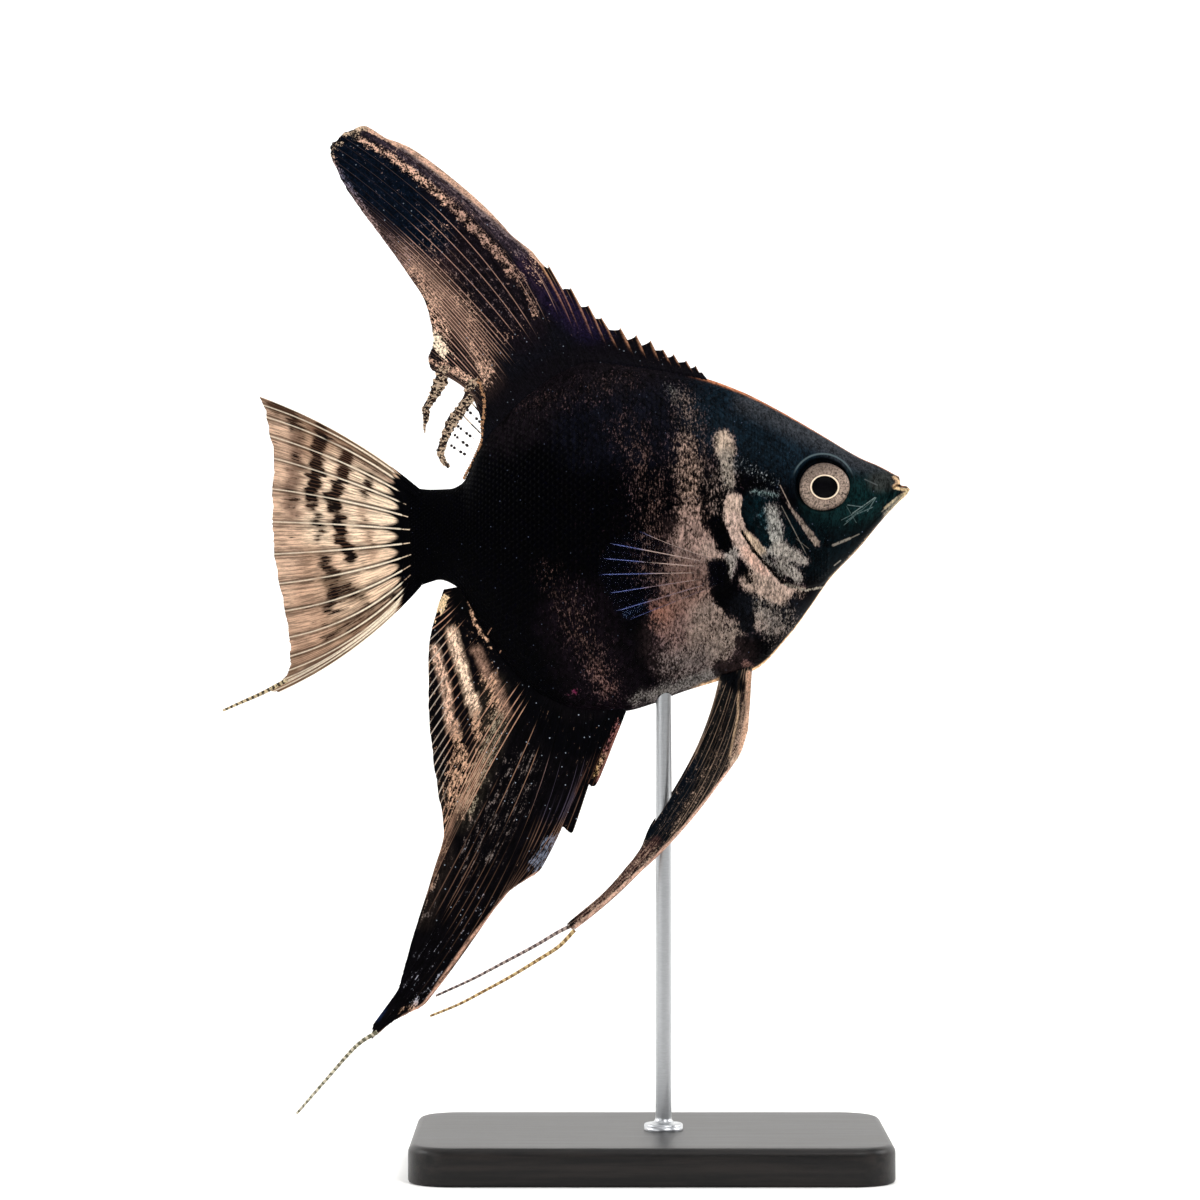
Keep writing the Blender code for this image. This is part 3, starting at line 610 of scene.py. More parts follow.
def markings(x, y, z):
    """Layers of the skin and scales: dark ground, colour of the flecks, and how dense they are."""
    at = (x, z)
    x, z = as_seen(x, z, np.abs(y))
    loose = soft(x, 15, 9) * 0.9 + 0.06      # how far the marks' outlines wander
    wx = x + loose * (0.3 * np.sin(1.7 * z + 1.1 * np.sin(1.3 * x)) + 0.2 * np.sin(4.1 * z + 2.3 * x))
    wz = z + loose * (0.3 * np.sin(1.9 * x + 1.3 * np.sin(1.1 * z)) + 0.2 * np.sin(4.7 * x - 2.9 * z))
    ground = paint(wx, wz, (0, 0, 2), GROUND)
    fleck = paint(x, z, (86, 66, 74), [])
    cover = np.full(np.shape(x), 0.03) * soft(np.abs(x - 18), 14, 10)
    for path, r0, r1, edge, amount, tone in FLECK:
        mask = mark(wx, wz, path, r0 - 0.3 * edge, r1 - 0.3 * edge, 1.8 * edge)
        fleck = mix_in(fleck, mask, tone)
        cover = cover + (amount - cover) * mask * (amount > cover)
    for path, r0, r1, edge, amount in DARK:
        cover = cover * (1 - amount * mark(wx, wz, path, r0, r1, edge))
    # painted shade: black inside the gill opening; and a pale seam along its lower edge
    d, side, share = from_path(x, z, GILL_SLIT)
    gill_shade = soft(np.abs(side * d + 0.12), 0.1, 0.3) * soft(np.abs(share - 0.54), 0.2, 0.06)
    seam = from_path(x, z, GILL_SEAM)[0]
    cover = np.maximum(cover * (1 - gill_shade), 0.85 * soft(seam, 0.06, 0.2))
    fleck = mix_in(fleck, soft(seam, 0.1, 0.3), (150, 142, 128))
    ground = ground * (1 - 0.9 * gill_shade[..., None])
    # painted shade: the eye's socket is darkened to black. Warm or pale rims on the back and belly of
    # the tail root; the belly's pale rim is also painted brighter to make up for shade
    socket = soft(np.hypot(at[0] - EYE[0] + 0.3, at[1] - EYE[1] - 0.42), 4.15, 0.4)
    cover = cover * (1 - socket)
    ground = ground * (1 - 0.8 * socket[..., None])
    ridge = soft(np.abs(y), 0.5, 0.6) * soft(-x, -24, 5)
    below = soft(z, 99, 6)
    ground = mix_in(ground, 0.9 * ridge * (1 - below), RIM_WARM)
    ground = mix_in(ground, np.clip(ridge * 1.5, 0, 1) * below, RIM_PALE_AND_LIGHT)
    cover = cover * (1 - ridge * below)
    return ground, fleck, cover


# Rings of the skin: 0.34 mm apart on the body, and closer on the head and again on the snout
stations = np.concatenate([np.arange(TAIL_X, 26.0, 0.34), np.arange(26.0, 50.0, 0.175),
                           np.arange(50.0, 54.9, 0.1), [54.92, NOSE_X]])
SKIN_AROUND = 272
ring_turn = np.arange(SKIN_AROUND) * 2 * np.pi / SKIN_AROUND
ring_angle = ring_turn + 0.28 * np.sin(2 * ring_turn)
skin_x = np.broadcast_to(stations[:, None], (len(stations), len(ring_turn)))
mid, high, wide, sharp = (v[:, None] for v in section(stations))
skin_z = mid + high * np.cos(ring_angle)
lateral = np.sin(ring_angle)
rise = np.clip(lateral ** 2 / RELIEF_FADE, 0, 1)
skin_y = np.sign(lateral) * (wide * np.abs(lateral) ** sharp + relief(skin_x, skin_z) * rise)
skin_points = np.stack([skin_x, skin_y, skin_z], axis=-1).reshape(-1, 3)
poles = [(TAIL_X - 0.1, 0, section(TAIL_X)[0]), (NOSE_X + 0.05, 0, section(NOSE_X)[0])]
skin_points = np.concatenate([skin_points, poles])
skin_faces = tube_faces(len(stations), len(ring_turn))
skin_ground, skin_fleck, skin_cover = markings(*skin_points.T)


# Fine pale lines of head, belly and tail root: (start, end, half width, amount, colour)
SCRATCHES = [
    ((34.2, 105.6), (38, 98.3), 0.07, 0.75, (128, 122, 112)),
    ((36.6, 100.4), (38.6, 98.8), 0.06, 0.6, (112, 106, 98)),
    ((34, 108.9), (35.6, 105.6), 0.08, 0.8, (150, 134, 122)),
    ((42.5, 99.4), (45.2, 100.5), 0.2, 0.85, (132, 124, 114)),
    ((45, 100.4), (46.7, 101.2), 0.1, 0.6, (128, 120, 110)),
    ((44.2, 102.6), (49.4, 107), 0.06, 0.45, (104, 122, 120)),
    ((43.8, 103.4), (46.9, 105), 0.06, 0.45, (104, 122, 120)),
    ((44.6, 105.6), (46.2, 103), 0.06, 0.35, (104, 122, 120)),
    ((47.6, 109.9), (49.6, 109), 0.1, 0.35, (108, 112, 112)),
    ((42.8, 96.2), (43.8, 97), 0.1, 0.8, (140, 132, 122)),
    ((45.6, 104.5), (49.2, 107), 0.08, 0.6, (128, 144, 142)),
    ((46.4, 104.4), (48.9, 105.5), 0.08, 0.5, (110, 130, 130)),
    ((44.8, 105.8), (47.2, 105.5), 0.08, 0.5, (110, 128, 128)),
    ((48, 104.8), (49.3, 106.9), 0.08, 0.5, (110, 130, 130)),
    ((44.6, 103.2), (46.4, 104.6), 0.08, 0.4, (110, 130, 130)),
    ((50.4, 104.8), (52.6, 107), 0.1, 0.5, (140, 134, 120)),
    ((-11.9, 86.2), (-12.9, 84.6), 0.08, 0.8, (190, 146, 120)),
    ((-10.4, 82.6), (-11.2, 81.2), 0.08, 0.8, (190, 146, 120)),
    ((-25.6, 106), (-26.6, 106.4), 0.07, 0.8, (220, 196, 168)),
    ((-25.3, 104), (-26.6, 104.37), 0.08, 0.9, (232, 208, 180)),
    ((-25, 101.94), (-26.7, 102.06), 0.08, 0.95, (232, 208, 180)),
    ((-25, 99.81), (-26.7, 99.6), 0.08, 0.9, (232, 208, 180)),
    ((-24.8, 97.95), (-26.6, 97.33), 0.08, 0.95, (232, 208, 180)),
    ((-24.9, 96.2), (-26.4, 95.3), 0.07, 0.8, (220, 190, 160)),
    ((-24.9, 94.67), (-26.1, 93.6), 0.07, 0.7, (200, 168, 140)),
]


def speckled(made):
    """Share of fleck, unevenness of tone and fine noise, each 0 to 1, from noise drawn out upwards."""
    fine = made.noise(made.place((4.0, 4.0, 1.6)), 3.0, 0.75)
    middle = made.noise(made.place((1.3, 1.3, 0.52)), 3.0, 0.6)
    broad = made.noise(made.place((0.5, 0.5, 0.2)))
    cover = made.read("cover", out=2)
    level = cover * 1.25 - 0.13 + (broad - 0.5) * 0.5 + (middle - 0.5) * 0.9
    share = ((level - (fine - 0.5) * 2.8 - 0.5) / 0.7 + 0.5).step(0.0, 1.0)
    return share * cover.step(0.0, 0.08), (fine * 0.6 + middle * 0.4).step(0.62, 0.36), fine


def fish_skin(name, rough, glints):
    """Skin: flecks over a dark mottled ground, fine pale lines and small blue-grey specks of painted
    glint, at a given strength.
    """
    skin = Finish(name)
    spots, uneven, fine = speckled(skin)
    fleck = skin.read("fleck")
    ground = skin.read("ground")
    light = skin.mix(uneven, skin.mix(0.7, fleck, BLACK), skin.mix(0.5, fleck, fleck, "ADD"))
    base = skin.mix(uneven, skin.mix(0.8, ground, BLACK), skin.mix(0.5, ground, ground, "ADD"))
    tint = skin.mix(spots, base, light)
    # pale lines, each from the distance to its run from start to end
    x, y, z = skin.parts(skin.place())
    for start, end, half, amount, tone in SCRATCHES:
        dx = end[0] - start[0]
        dz = end[1] - start[1]
        reach = dx * dx + dz * dz
        share = ((x - start[0]) * (dx / reach) + (z - start[1]) * (dz / reach)).most(0.0).least(1.0)
        across = x - start[0] - share * dx
        up = z - start[1] - share * dz
        line = (across * across + up * up).root().step(half * 1.5, half * 0.4)
        tint = skin.mix(line * fine.step(0.3, 0.55) * amount, tint, colour(*tone))
    # a thin grey arc over the eye
    across = x - (EYE[0] - 0.2)
    up = z - (EYE[1] + 0.35)
    arc = ((across * across + up * up).root() - 5.0).size().step(0.22, 0.05) * up.step(1.2, 3.4)
    tint = skin.mix(arc * 0.5, tint, colour(96, 112, 116))
    # painted glints: small blue-grey specks
    glint = skin.scattered(0.8).step(0.09, 0.045) * uneven.step(0.2, 0.8) * glints
    tint = skin.mix(glint, tint, colour(120, 130, 156))
    return skin.surface({
        "Base Color": tint,
        "Roughness": rough + fine * 0.16 + spots * 0.08,
        "Specular IOR Level": 0.016,
        "Normal": skin.bump(fine, 0.03),
    })


skin_material = fish_skin("angelfish_skin", 0.36, 0.55)
skin = mesh_piece("skin", skin_points, skin_faces, skin_material,
                  {"ground": skin_ground, "fleck": skin_fleck, "cover": skin_cover})
mount(skin, "trunk", "head", "lower_jaw", "gill_cover_left", "gill_cover_right", "trunk", "tail")

# ------------------------------------------------------------------ eyes
# Glass eyes: a domed iris of grained tan, a raised cream ring and a deep black pupil, each set in
# its socket and leaning forward with the side of the head.
EYE_Y = 4.35              # plane of the iris's edge, out from the plane of symmetry
EYE_LEAN = -0.16          # sideways change for each millimetre forward
EYE_HIGH = 1.75           # height of the dome
EYE_BACK = 2.6            # how far out the closed back of the eye lies
PUPIL_X = 2.05
PUPIL_Z = 1.74

radius_share = np.concatenate([np.linspace(0.02, 0.46, 9), np.linspace(0.475, 0.58, 8),
                               np.linspace(0.6, 0.93, 18), np.linspace(0.945, 1.0, 6)])
eye_turn = np.arange(112) * 2 * np.pi / 112
share = radius_share[:, None]
# The pupil is an ellipse and the iris's edge a circle flattened above and below; the rings between
# them pass from one shape to the other
squeeze = 1 / np.hypot(np.cos(eye_turn) / PUPIL_X, np.sin(eye_turn) / PUPIL_Z) / PUPIL_X
spread = 1 - (1 - squeeze) * soft(share, 0.58, 0.3)
outline = 1 - 0.075 * np.sin(eye_turn - 0.25) ** 2 + 0.022 * np.cos(3 * eye_turn + 0.6)
spread = spread * (1 + (outline - 1) * (1 - soft(share, 0.62, 0.3)))
# Height over the iris's edge: a dome, the raised cream ring, the hollow pupil and a low trough
dome = EYE_HIGH * np.sqrt(np.clip(1 - (share * 0.97) ** 2, 0, 1))
ring_lip = 0.16 * np.exp(-((share - 0.535) / 0.028) ** 2)
hollow = -0.3 * soft(share, 0.47, 0.05) - 0.12 * soft(np.abs(share - 0.7), 0.02, 0.12)
eye_out = dome + ring_lip + hollow
eye_out = np.where(share > 0.97, eye_out - (share - 0.97) * 14, eye_out)
eye_out = np.broadcast_to(eye_out, (len(radius_share), len(eye_turn)))
eye_dx = EYE_R * share * spread * np.cos(eye_turn)
eye_dz = EYE_R * share * spread * np.sin(eye_turn)


def eyeball(side):
    """Points and faces of one eye: rings of the dome, leaning with the head, and two poles."""
    y = side * (EYE_Y + EYE_LEAN * eye_dx + eye_out)
    points = np.stack([EYE[0] + eye_dx, y, EYE[1] + eye_dz], axis=-1).reshape(-1, 3)
    ends = [(EYE[0], side * (EYE_Y + eye_out[0, 0] + 0.01), EYE[1]),
            (EYE[0], side * EYE_BACK, EYE[1])]
    return np.concatenate([points, ends]), tube_faces(len(radius_share), len(eye_turn))


iris = Finish("eye_glass")
spoke = iris.read("spoke", out=1)
iris_share = iris.read("share", out=2)
streaks = iris.noise(spoke, 3.0, 0.7)
mottle = iris.noise(iris.place(3.2), 3.0, 0.6)
iris_tone = iris.mix((streaks * 0.45 + mottle * 0.55).step(0.34, 0.6),
                     colour(50, 41, 37), colour(164, 144, 130))
top_dark_and_shade = iris.read("top_dark_and_shade", out=2)
iris_tone = iris.mix(iris_share.step(0.62, 0.56) * 0.75, iris_tone, colour(70, 48, 38))
# darker top of the iris: partly its own colour, partly painted shade from the lid
iris_tone = iris.mix(top_dark_and_shade * 0.75, iris_tone, colour(20, 17, 17))
iris_tone = iris.mix(iris_share.step(0.94, 0.995) * 0.6, iris_tone, colour(60, 44, 38))
cream = iris_share.step(0.492, 0.51) * iris_share.step(0.572, 0.556)
iris_tone = iris.mix(cream, iris_tone, colour(240, 220, 194))
iris_tone = iris.mix(iris_share.step(0.505, 0.485), iris_tone, colour(2, 2, 4))
iris_material = iris.surface({
    "Base Color": iris_tone,
    "Roughness": 0.3,
    "Specular IOR Level": 0.05,
    "Normal": iris.bump(streaks * 0.5 + mottle * 0.5, 0.04),
})
SIDES = (("right", -1), ("left", 1))
for label, side in SIDES:
    eye_points, eye_faces = eyeball(side)
    turn_all = np.concatenate([np.tile(eye_turn, len(radius_share)), [0, 0]])
    share_all = np.concatenate([np.repeat(radius_share, len(eye_turn)), [0, 1]])
    spokes = np.stack([np.cos(turn_all) * 9, np.sin(turn_all) * 9, share_all * 3.5], axis=1)
    # how far the iris's darker top and the lid's painted shade reach down the eye
    lid = np.clip((eye_points[:, 2] - EYE[1]) / EYE_R - 0.15 - 0.2 * np.cos(turn_all), 0, 1)
    eye = mesh_piece("eye_" + label + "_glass", eye_points, eye_faces, iris_material,
                     {"spoke": spokes, "share": share_all,
                      "top_dark_and_shade": lid * soft(-share_all, -0.7, 0.25)})
    mount(eye, "eye", "eye_" + label)

# ------------------------------------------------------------------ scales
# Small overlapping scales, each a thin curved plate rooted in the skin with its free edge to the
# rear. They shrink towards the tail and the face, and the forehead and snout are bare.
SCALE_DX = 0.75
SCALE_DZ = 1.12
FACE_DX = 0.5
FACE_DZ = 0.66
LIFT_ROOT = -0.05
LIFT_EDGE = 0.06
SCALE_T = 0.035
SCALE_RIM = 0.93          # share of the half height past which scales are drawn in, and how far
SCALE_RIM_REACH = 0.065
LAST_ROOT = 0.965         # share of the half height past which no scale is rooted
MID_HALF_HEIGHT = 28.0    # half height of the body where its scales are full size
COAT_Y = 9.0              # how far out the scales count as standing when their marks are placed

# Points of one plate: a from its root to its free edge, b across it, k its under and upper face
plate_a, plate_b, plate_k = (part.ravel() for part in np.meshgrid(
    np.linspace(0, 1, 5), np.linspace(-1, 1, 5), (0, 1), indexing="ij"))


def plate_faces():
    """Quads of one closed plate of 5 by 5 points above and below, from front to free edge."""
    n = np.arange(50).reshape(5, 5, 2)
    top = np.stack([n[:-1, :-1, 1], n[:-1, 1:, 1], n[1:, 1:, 1], n[1:, :-1, 1]], -1).reshape(-1, 4)
    low = np.stack([n[:-1, :-1, 0], n[1:, :-1, 0], n[1:, 1:, 0], n[:-1, 1:, 0]], -1).reshape(-1, 4)
    rim = np.concatenate([n[:, 0, :], n[-1, 1:, :], n[-2::-1, -1, :], n[0, -2:0:-1, :]])
    ahead = np.roll(rim, -1, axis=0)
    wall = np.stack([rim[:, 0], rim[:, 1], ahead[:, 1], ahead[:, 0]], axis=1)
    return np.concatenate([top, low, wall])


def size_at(x):
    """Size of the scales along the body: full at mid body, smaller to the tail."""
    return (section(x)[1] / MID_HALF_HEIGHT) ** 0.45


def lattice(x0, x1, dx, dz, even=None):
    """Staggered roots: columns dx apart, rows dz apart in height, both times the local size."""
    columns = [x0]
    while columns[-1] < x1:
        step = dx * (even or size_at(columns[-1]))
        columns.append(columns[-1] + step)
    x = np.array(columns)
    k = np.arange(-40, 41)
    grow = np.full(len(x), even) if even else size_at(x)
    z = (smooth([(-26, 100.5), (0, 100.3), (26, 101.5), (55, 105)], x)[:, None]
         + (k + 0.5 * (np.arange(len(x)) % 2)[:, None]) * dz * grow[:, None])
    x = np.broadcast_to(x[:, None], z.shape)
    grow = np.broadcast_to(grow[:, None], z.shape)
    mid, high = section(x)[:2]
    held = np.abs((z - mid) / high) < LAST_ROOT
    return x[held], z[held], grow[held]


def scale_coat(name, roots, dx, dz, side, seed, slot):
    """Joined plates. A point is root + length * (0.35 - a * (1 - 0.28 b^2)) along the body and
    b * half width up it, then carried onto the skin and lifted square to it by a^1.2."""
    rng = np.random.default_rng(seed)
    rx, rz, grow = (v[:, None] for v in roots)
    count = len(rx)
    jog = rng.uniform(-1, 1, (count, 4))
    rx = rx + 0.05 * dx * jog[:, :1]
    rz = rz + 0.05 * dz * jog[:, 1:2]
    length = 2.15 * dx * grow * (1 + 0.06 * jog[:, 2:3])
    half = 0.64 * dz * grow * (1 + 0.05 * jog[:, 3:4])
    x = rx + length * (0.35 - plate_a * (1 - 0.28 * plate_b ** 2))
    z = rz + plate_b * half * (0.78 + 0.22 * np.sin(np.pi * plate_a))
    mid, high = section(x)[:2]
    c = (z - mid) / high
    past = np.clip(np.abs(c) - SCALE_RIM, 0, None)
    drawn_in = SCALE_RIM + SCALE_RIM_REACH * np.tanh(past / SCALE_RIM_REACH)
    c = np.where(past > 0, np.sign(c) * drawn_in, c)
    z = mid + high * c
    y = side_y(x, z)
    h = 0.05
    slope_x = (side_y(x + h, z) - side_y(x - h, z)) / (2 * h)
    slope_z = (side_y(x, z + h) - side_y(x, z - h)) / (2 * h)
    size = np.sqrt(1 + slope_x ** 2 + slope_z ** 2)
    arch = 0.03 * (1 - plate_b ** 2) * plate_a
    lift = ((LIFT_ROOT + (LIFT_EDGE - LIFT_ROOT) * plate_a ** 1.2) * (0.6 + 0.4 * grow) + arch
            - SCALE_T * (1 - plate_k))
    points = np.stack([x - lift * slope_x / size, side * (y + lift / size),
                       z - lift * slope_z / size], axis=-1).reshape(-1, 3)
    faces = (plate_faces()[None] + 50 * np.arange(count)[:, None, None]).reshape(-1, 4)
    ground, fleck, cover = markings(x, np.full(x.shape, COAT_Y), z)
    wave = rng.uniform(-1, 1, (count, 2))
    cover = np.clip(cover * (1 + 0.3 * wave[:, :1]) - 0.1 * (plate_a - 0.5), 0, 1)
    ground = ground * (1 + 0.35 * wave[:, 1:2, None]) * (1.25 - 0.5 * plate_a[None, :, None])
    over = (x - TAIL_X) / (NOSE_X - TAIL_X)
    up = np.arccos(np.clip(c, -1, 1)) / (2 * np.pi)
    centre = np.stack([over.mean(1), 0.5 + side * up.mean(1) * 0.98], axis=1)[:, None]
    patch = 0.003 * np.stack([plate_a - 0.5, plate_b / 2], axis=1)[None]
    obj = mesh_piece(name, points, [faces], scale_material,
                     {"ground": ground.reshape(-1, 3), "fleck": fleck.reshape(-1, 3),
                      "cover": cover.ravel()},
                     {"OFBake": (centre + patch).reshape(-1, 2)})
    mount(obj, slot)


def gill_side(x, z):
    """Distance ahead of the gill opening's line, and up the nape above it."""
    d, side, share = from_path(x, z, [(25.4, 132), (27.4, 114), *GILL_SLIT, (47, 90)])
    return side * d


scale_material = fish_skin("angelfish_scales", 0.3, 0.4)
body_roots = lattice(-24.6, 36.0, SCALE_DX, SCALE_DZ)
behind = gill_side(body_roots[0], body_roots[1]) < -0.35
face_roots = lattice(26.0, 42.0, FACE_DX, FACE_DZ, 1.0)
fx, fz = face_roots[:2]
ahead = gill_side(fx, fz)
clear_of_eye = np.hypot(fx - EYE[0], fz - EYE[1]) > 5.9
band = from_path(fx, fz, CHEEK_BAND)[0] > 0.9
line = from_path(fx, fz, CHEEK_LINE)[0] > 0.35
above = fz < 123 - 0.9 * (fx - 27)
on_face = (ahead > 0.75) & clear_of_eye & band & line & above
for label, side in SIDES:
    for part, held in (("front", body_roots[0] > 5), ("rear", body_roots[0] <= 5)):
        scale_coat("scales_" + part + "_" + label, [v[behind & held] for v in body_roots],
                   SCALE_DX, SCALE_DZ, side, 3, "trunk")
    scale_coat("face_scales_" + label, [fx[on_face], fz[on_face], 0.9 * face_roots[2][on_face]],
               FACE_DX, FACE_DZ, side, 4, "head")

# ------------------------------------------------------------------ dorsal fin
# Spines and soft rays joined by a thin web, folded flat in the plane of symmetry. The spines stand
# free at their tips; the soft rays run out fine and close, and the web frays a little at its edge.

# Rays from front to rear: x of the root, x and z of the tip, and bow as a share of the length
DORSAL = [(22.4, 21.7, 127.2, 0), (21.5, 20.7, 128.3, 0), (20.3, 19.2, 129.1, 0),
          (18.6, 17.2, 130.1, 0), (17.1, 15.5, 130.9, 0), (15.2, 13.5, 132.3, 0),
          (13.2, 11.2, 133.2, 0), (11.2, 8.7, 134.3, -0.01), (9, 5.6, 136, -0.02),
          (7.2, 3.5, 138, -0.02), (5.2, 0.7, 140.8, -0.03), (3.4, -3.1, 144.8, -0.04),
          (2.7, -5.4, 146.5, -0.045), (2.1, -10.6, 150.7, -0.06), (1.2, -18.6, 158.4, -0.09),
          (0.3, -26, 163.7, -0.09), (-0.2, -29.4, 164.9, -0.088), (-0.6, -32.6, 166.7, -0.085),
          (-1.6, -36.3, 165.2, -0.07), (-2.6, -38, 162.8, -0.05), (-4.2, -36.2, 158.2, -0.03),
          (-5.5, -33.2, 153.6, -0.03), (-6.6, -30, 149.3, -0.03), (-8, -25.6, 143.2, -0.03),
          (-9.3, -22.4, 137.9, -0.03), (-10.3, -21.3, 132.2, -0.03), (-10.9, -22.1, 129.4, -0.05),
          (-11.4, -21.4, 127.4, -0.1), (-11.9, -17.9, 127, -0.05), (-12.6, -15.8, 125.6, 0),
          (-13.4, -13.6, 122.8, 0)]
# Row of that table and count of fine rays up to it; row and depth of the notch behind the spine
DORSAL_SPACING = [(0, 0), (12, 12), (16, 14), (18, 16), (20, 19), (21, 21.5), (22, 24.5), (23, 28),
                  (24, 31), (27, 39), (30, 45)]
DORSAL_NOTCH = [(0, 0.42), (2, 0.36), (4, 0.28), (7, 0.27), (8.5, 0.2), (11, 0.27), (12, 0.06)]


def body_edge(table, x):
    """Points on the body's outline at x."""
    return np.stack([x, smooth(table, x)], axis=1)


def amounts(x, z, level, marks):
    """Number at each point: a level, then each mark's value laid over it along its path."""
    out = np.full(np.shape(x), float(level))
    for path, r0, r1, edge, value in marks:
        out = out + (value - out) * mark(x, z, path, r0, r1, edge)
    return out


RAY_SPAN = 64.0           # ray numbers are divided by this in the UV map


def fin_sheet(roots, rays, spacing, teeth=0, per_ray=9, rows=110, sunk=1.2, web=(0.22, 0.1),
              ray=(0.3, 0.14), notch=((0, 0.1), (1, 0.1)), ragged=0.01, side=None, seed=1):
    """Closed fin: both faces of a sheet over its rays, and what its colours need.

    A ray runs root + r * (tip - root) + 4 * bow * r * (1 - r) * length * normal, and the sheet
    is as thick as the web plus a rounded ridge on each ray. spacing pairs a row of the table with
    a count of fine rays. teeth is how many spines stand free, and notch how deep the web is cut
    behind each. side(x, z, r) is the Y of the fin's middle, or none for the plane of symmetry.
    """
    # u runs over the rays of the table, from front to rear
    rng = np.random.default_rng(seed)
    last = len(rays) - 1
    u = np.linspace(0, last, last * per_ray + 1)
    i = np.arange(last + 1)
    table = np.concatenate([np.array(roots, float), np.array(rays, float)[:, 1:4]], axis=1)
    made = np.stack([smooth(np.stack([i, column], axis=1), u) for column in table.T], axis=1)
    root, tip, bow = made[:, :2], made[:, 2:4], made[:, 4]
    number = np.interp(u, *np.array(spacing, float).T)
    # spines: the web falls away behind each; soft rays: it sags between them and is a little torn
    part = u - np.floor(u)
    fall = np.where(part > 1e-6, part, 0)
    spread = np.abs(number - np.round(number)) * 2
    tear = np.interp(u, i, rng.uniform(0, 1, last + 1)) * rng.uniform(0.3, 1, len(u))
    reach = np.where(u < teeth, 1 - np.interp(u, *np.array(notch, float).T) * (fall / 0.9) ** 0.7,
                     1 - ragged * (0.55 * spread ** 2 + tear) * np.clip(u - teeth, 0, 1))
    # v runs along a ray, from a little inside the body to its end
    along = tip - root
    length = np.linalg.norm(along, axis=1)
    normal = np.stack([-along[:, 1], along[:, 0]], axis=1)
    v = np.linspace(0, 1, rows)[None, :] ** 0.95
    r = v * reach[:, None] * (1 + sunk / length[:, None]) - sunk / length[:, None]
    line = (root[:, None] + r[..., None] * along[:, None]
            + 4 * (bow[:, None] * r * (1 - r))[..., None] * normal[:, None])
    x, z = line[..., 0], line[..., 1]
    share = np.clip(r, 0, 1)
    # gap is the distance from one fine ray to the next, measured square to them
    over = np.stack([np.gradient(x, axis=0), np.gradient(z, axis=0)])
    out = np.stack([np.gradient(x, axis=1), np.gradient(z, axis=1)])
    out /= np.linalg.norm(out, axis=0)
    gap = np.abs(over[0] * out[1] - over[1] * out[0]) / np.gradient(number)[:, None]
    ridge = np.exp(-(np.abs(number - np.round(number))[:, None] * gap / 0.15) ** 2)
    half = ((web[0] + (web[1] - web[0]) * share) / 2
            + ridge * (ray[0] + (ray[1] - ray[0]) * share) / 2
            + 0.5 * np.exp(-share * length[:, None] / 0.9))
    half *= np.clip((1.03 - v) / 0.05, 0.4, 1)
    half *= np.clip(np.minimum(u, last - u)[:, None] / 0.2, 0.55, 1)
    # a ring of points runs down the right face and back up the left one
    middle = np.zeros(x.shape) if side is None else side(x, z, share)
    n = len(u)
    ring = np.concatenate([np.stack([x, middle - half, z], axis=-1),
                           np.stack([x, middle + half, z], axis=-1)[::-1]])
    points = ring.transpose(1, 0, 2).reshape(-1, 3)
    j = np.arange(n - 1)
    cap = np.stack([j, 2 * n - 1 - j, 2 * n - 2 - j, j + 1], axis=1)
    faces = [grid_faces(rows, 2 * n, wrap=True), cap, cap[:, ::-1] + (rows - 1) * 2 * n]

    def both(values):
        """Values of the sheet for the points of both faces."""
        whole = np.concatenate([values, values[::-1]])
        return whole.swapaxes(0, 1).reshape(-1, *values.shape[2:])

    flat = {"x": both(x), "z": both(z), "share": both(share), "gap": both(gap),
            "length": both(r * length[:, None]),
            "number": both(np.broadcast_to(number[:, None], x.shape))}
    flat["rays"] = np.stack([flat["number"] / RAY_SPAN, flat["share"]], axis=1)
    return points, faces, flat


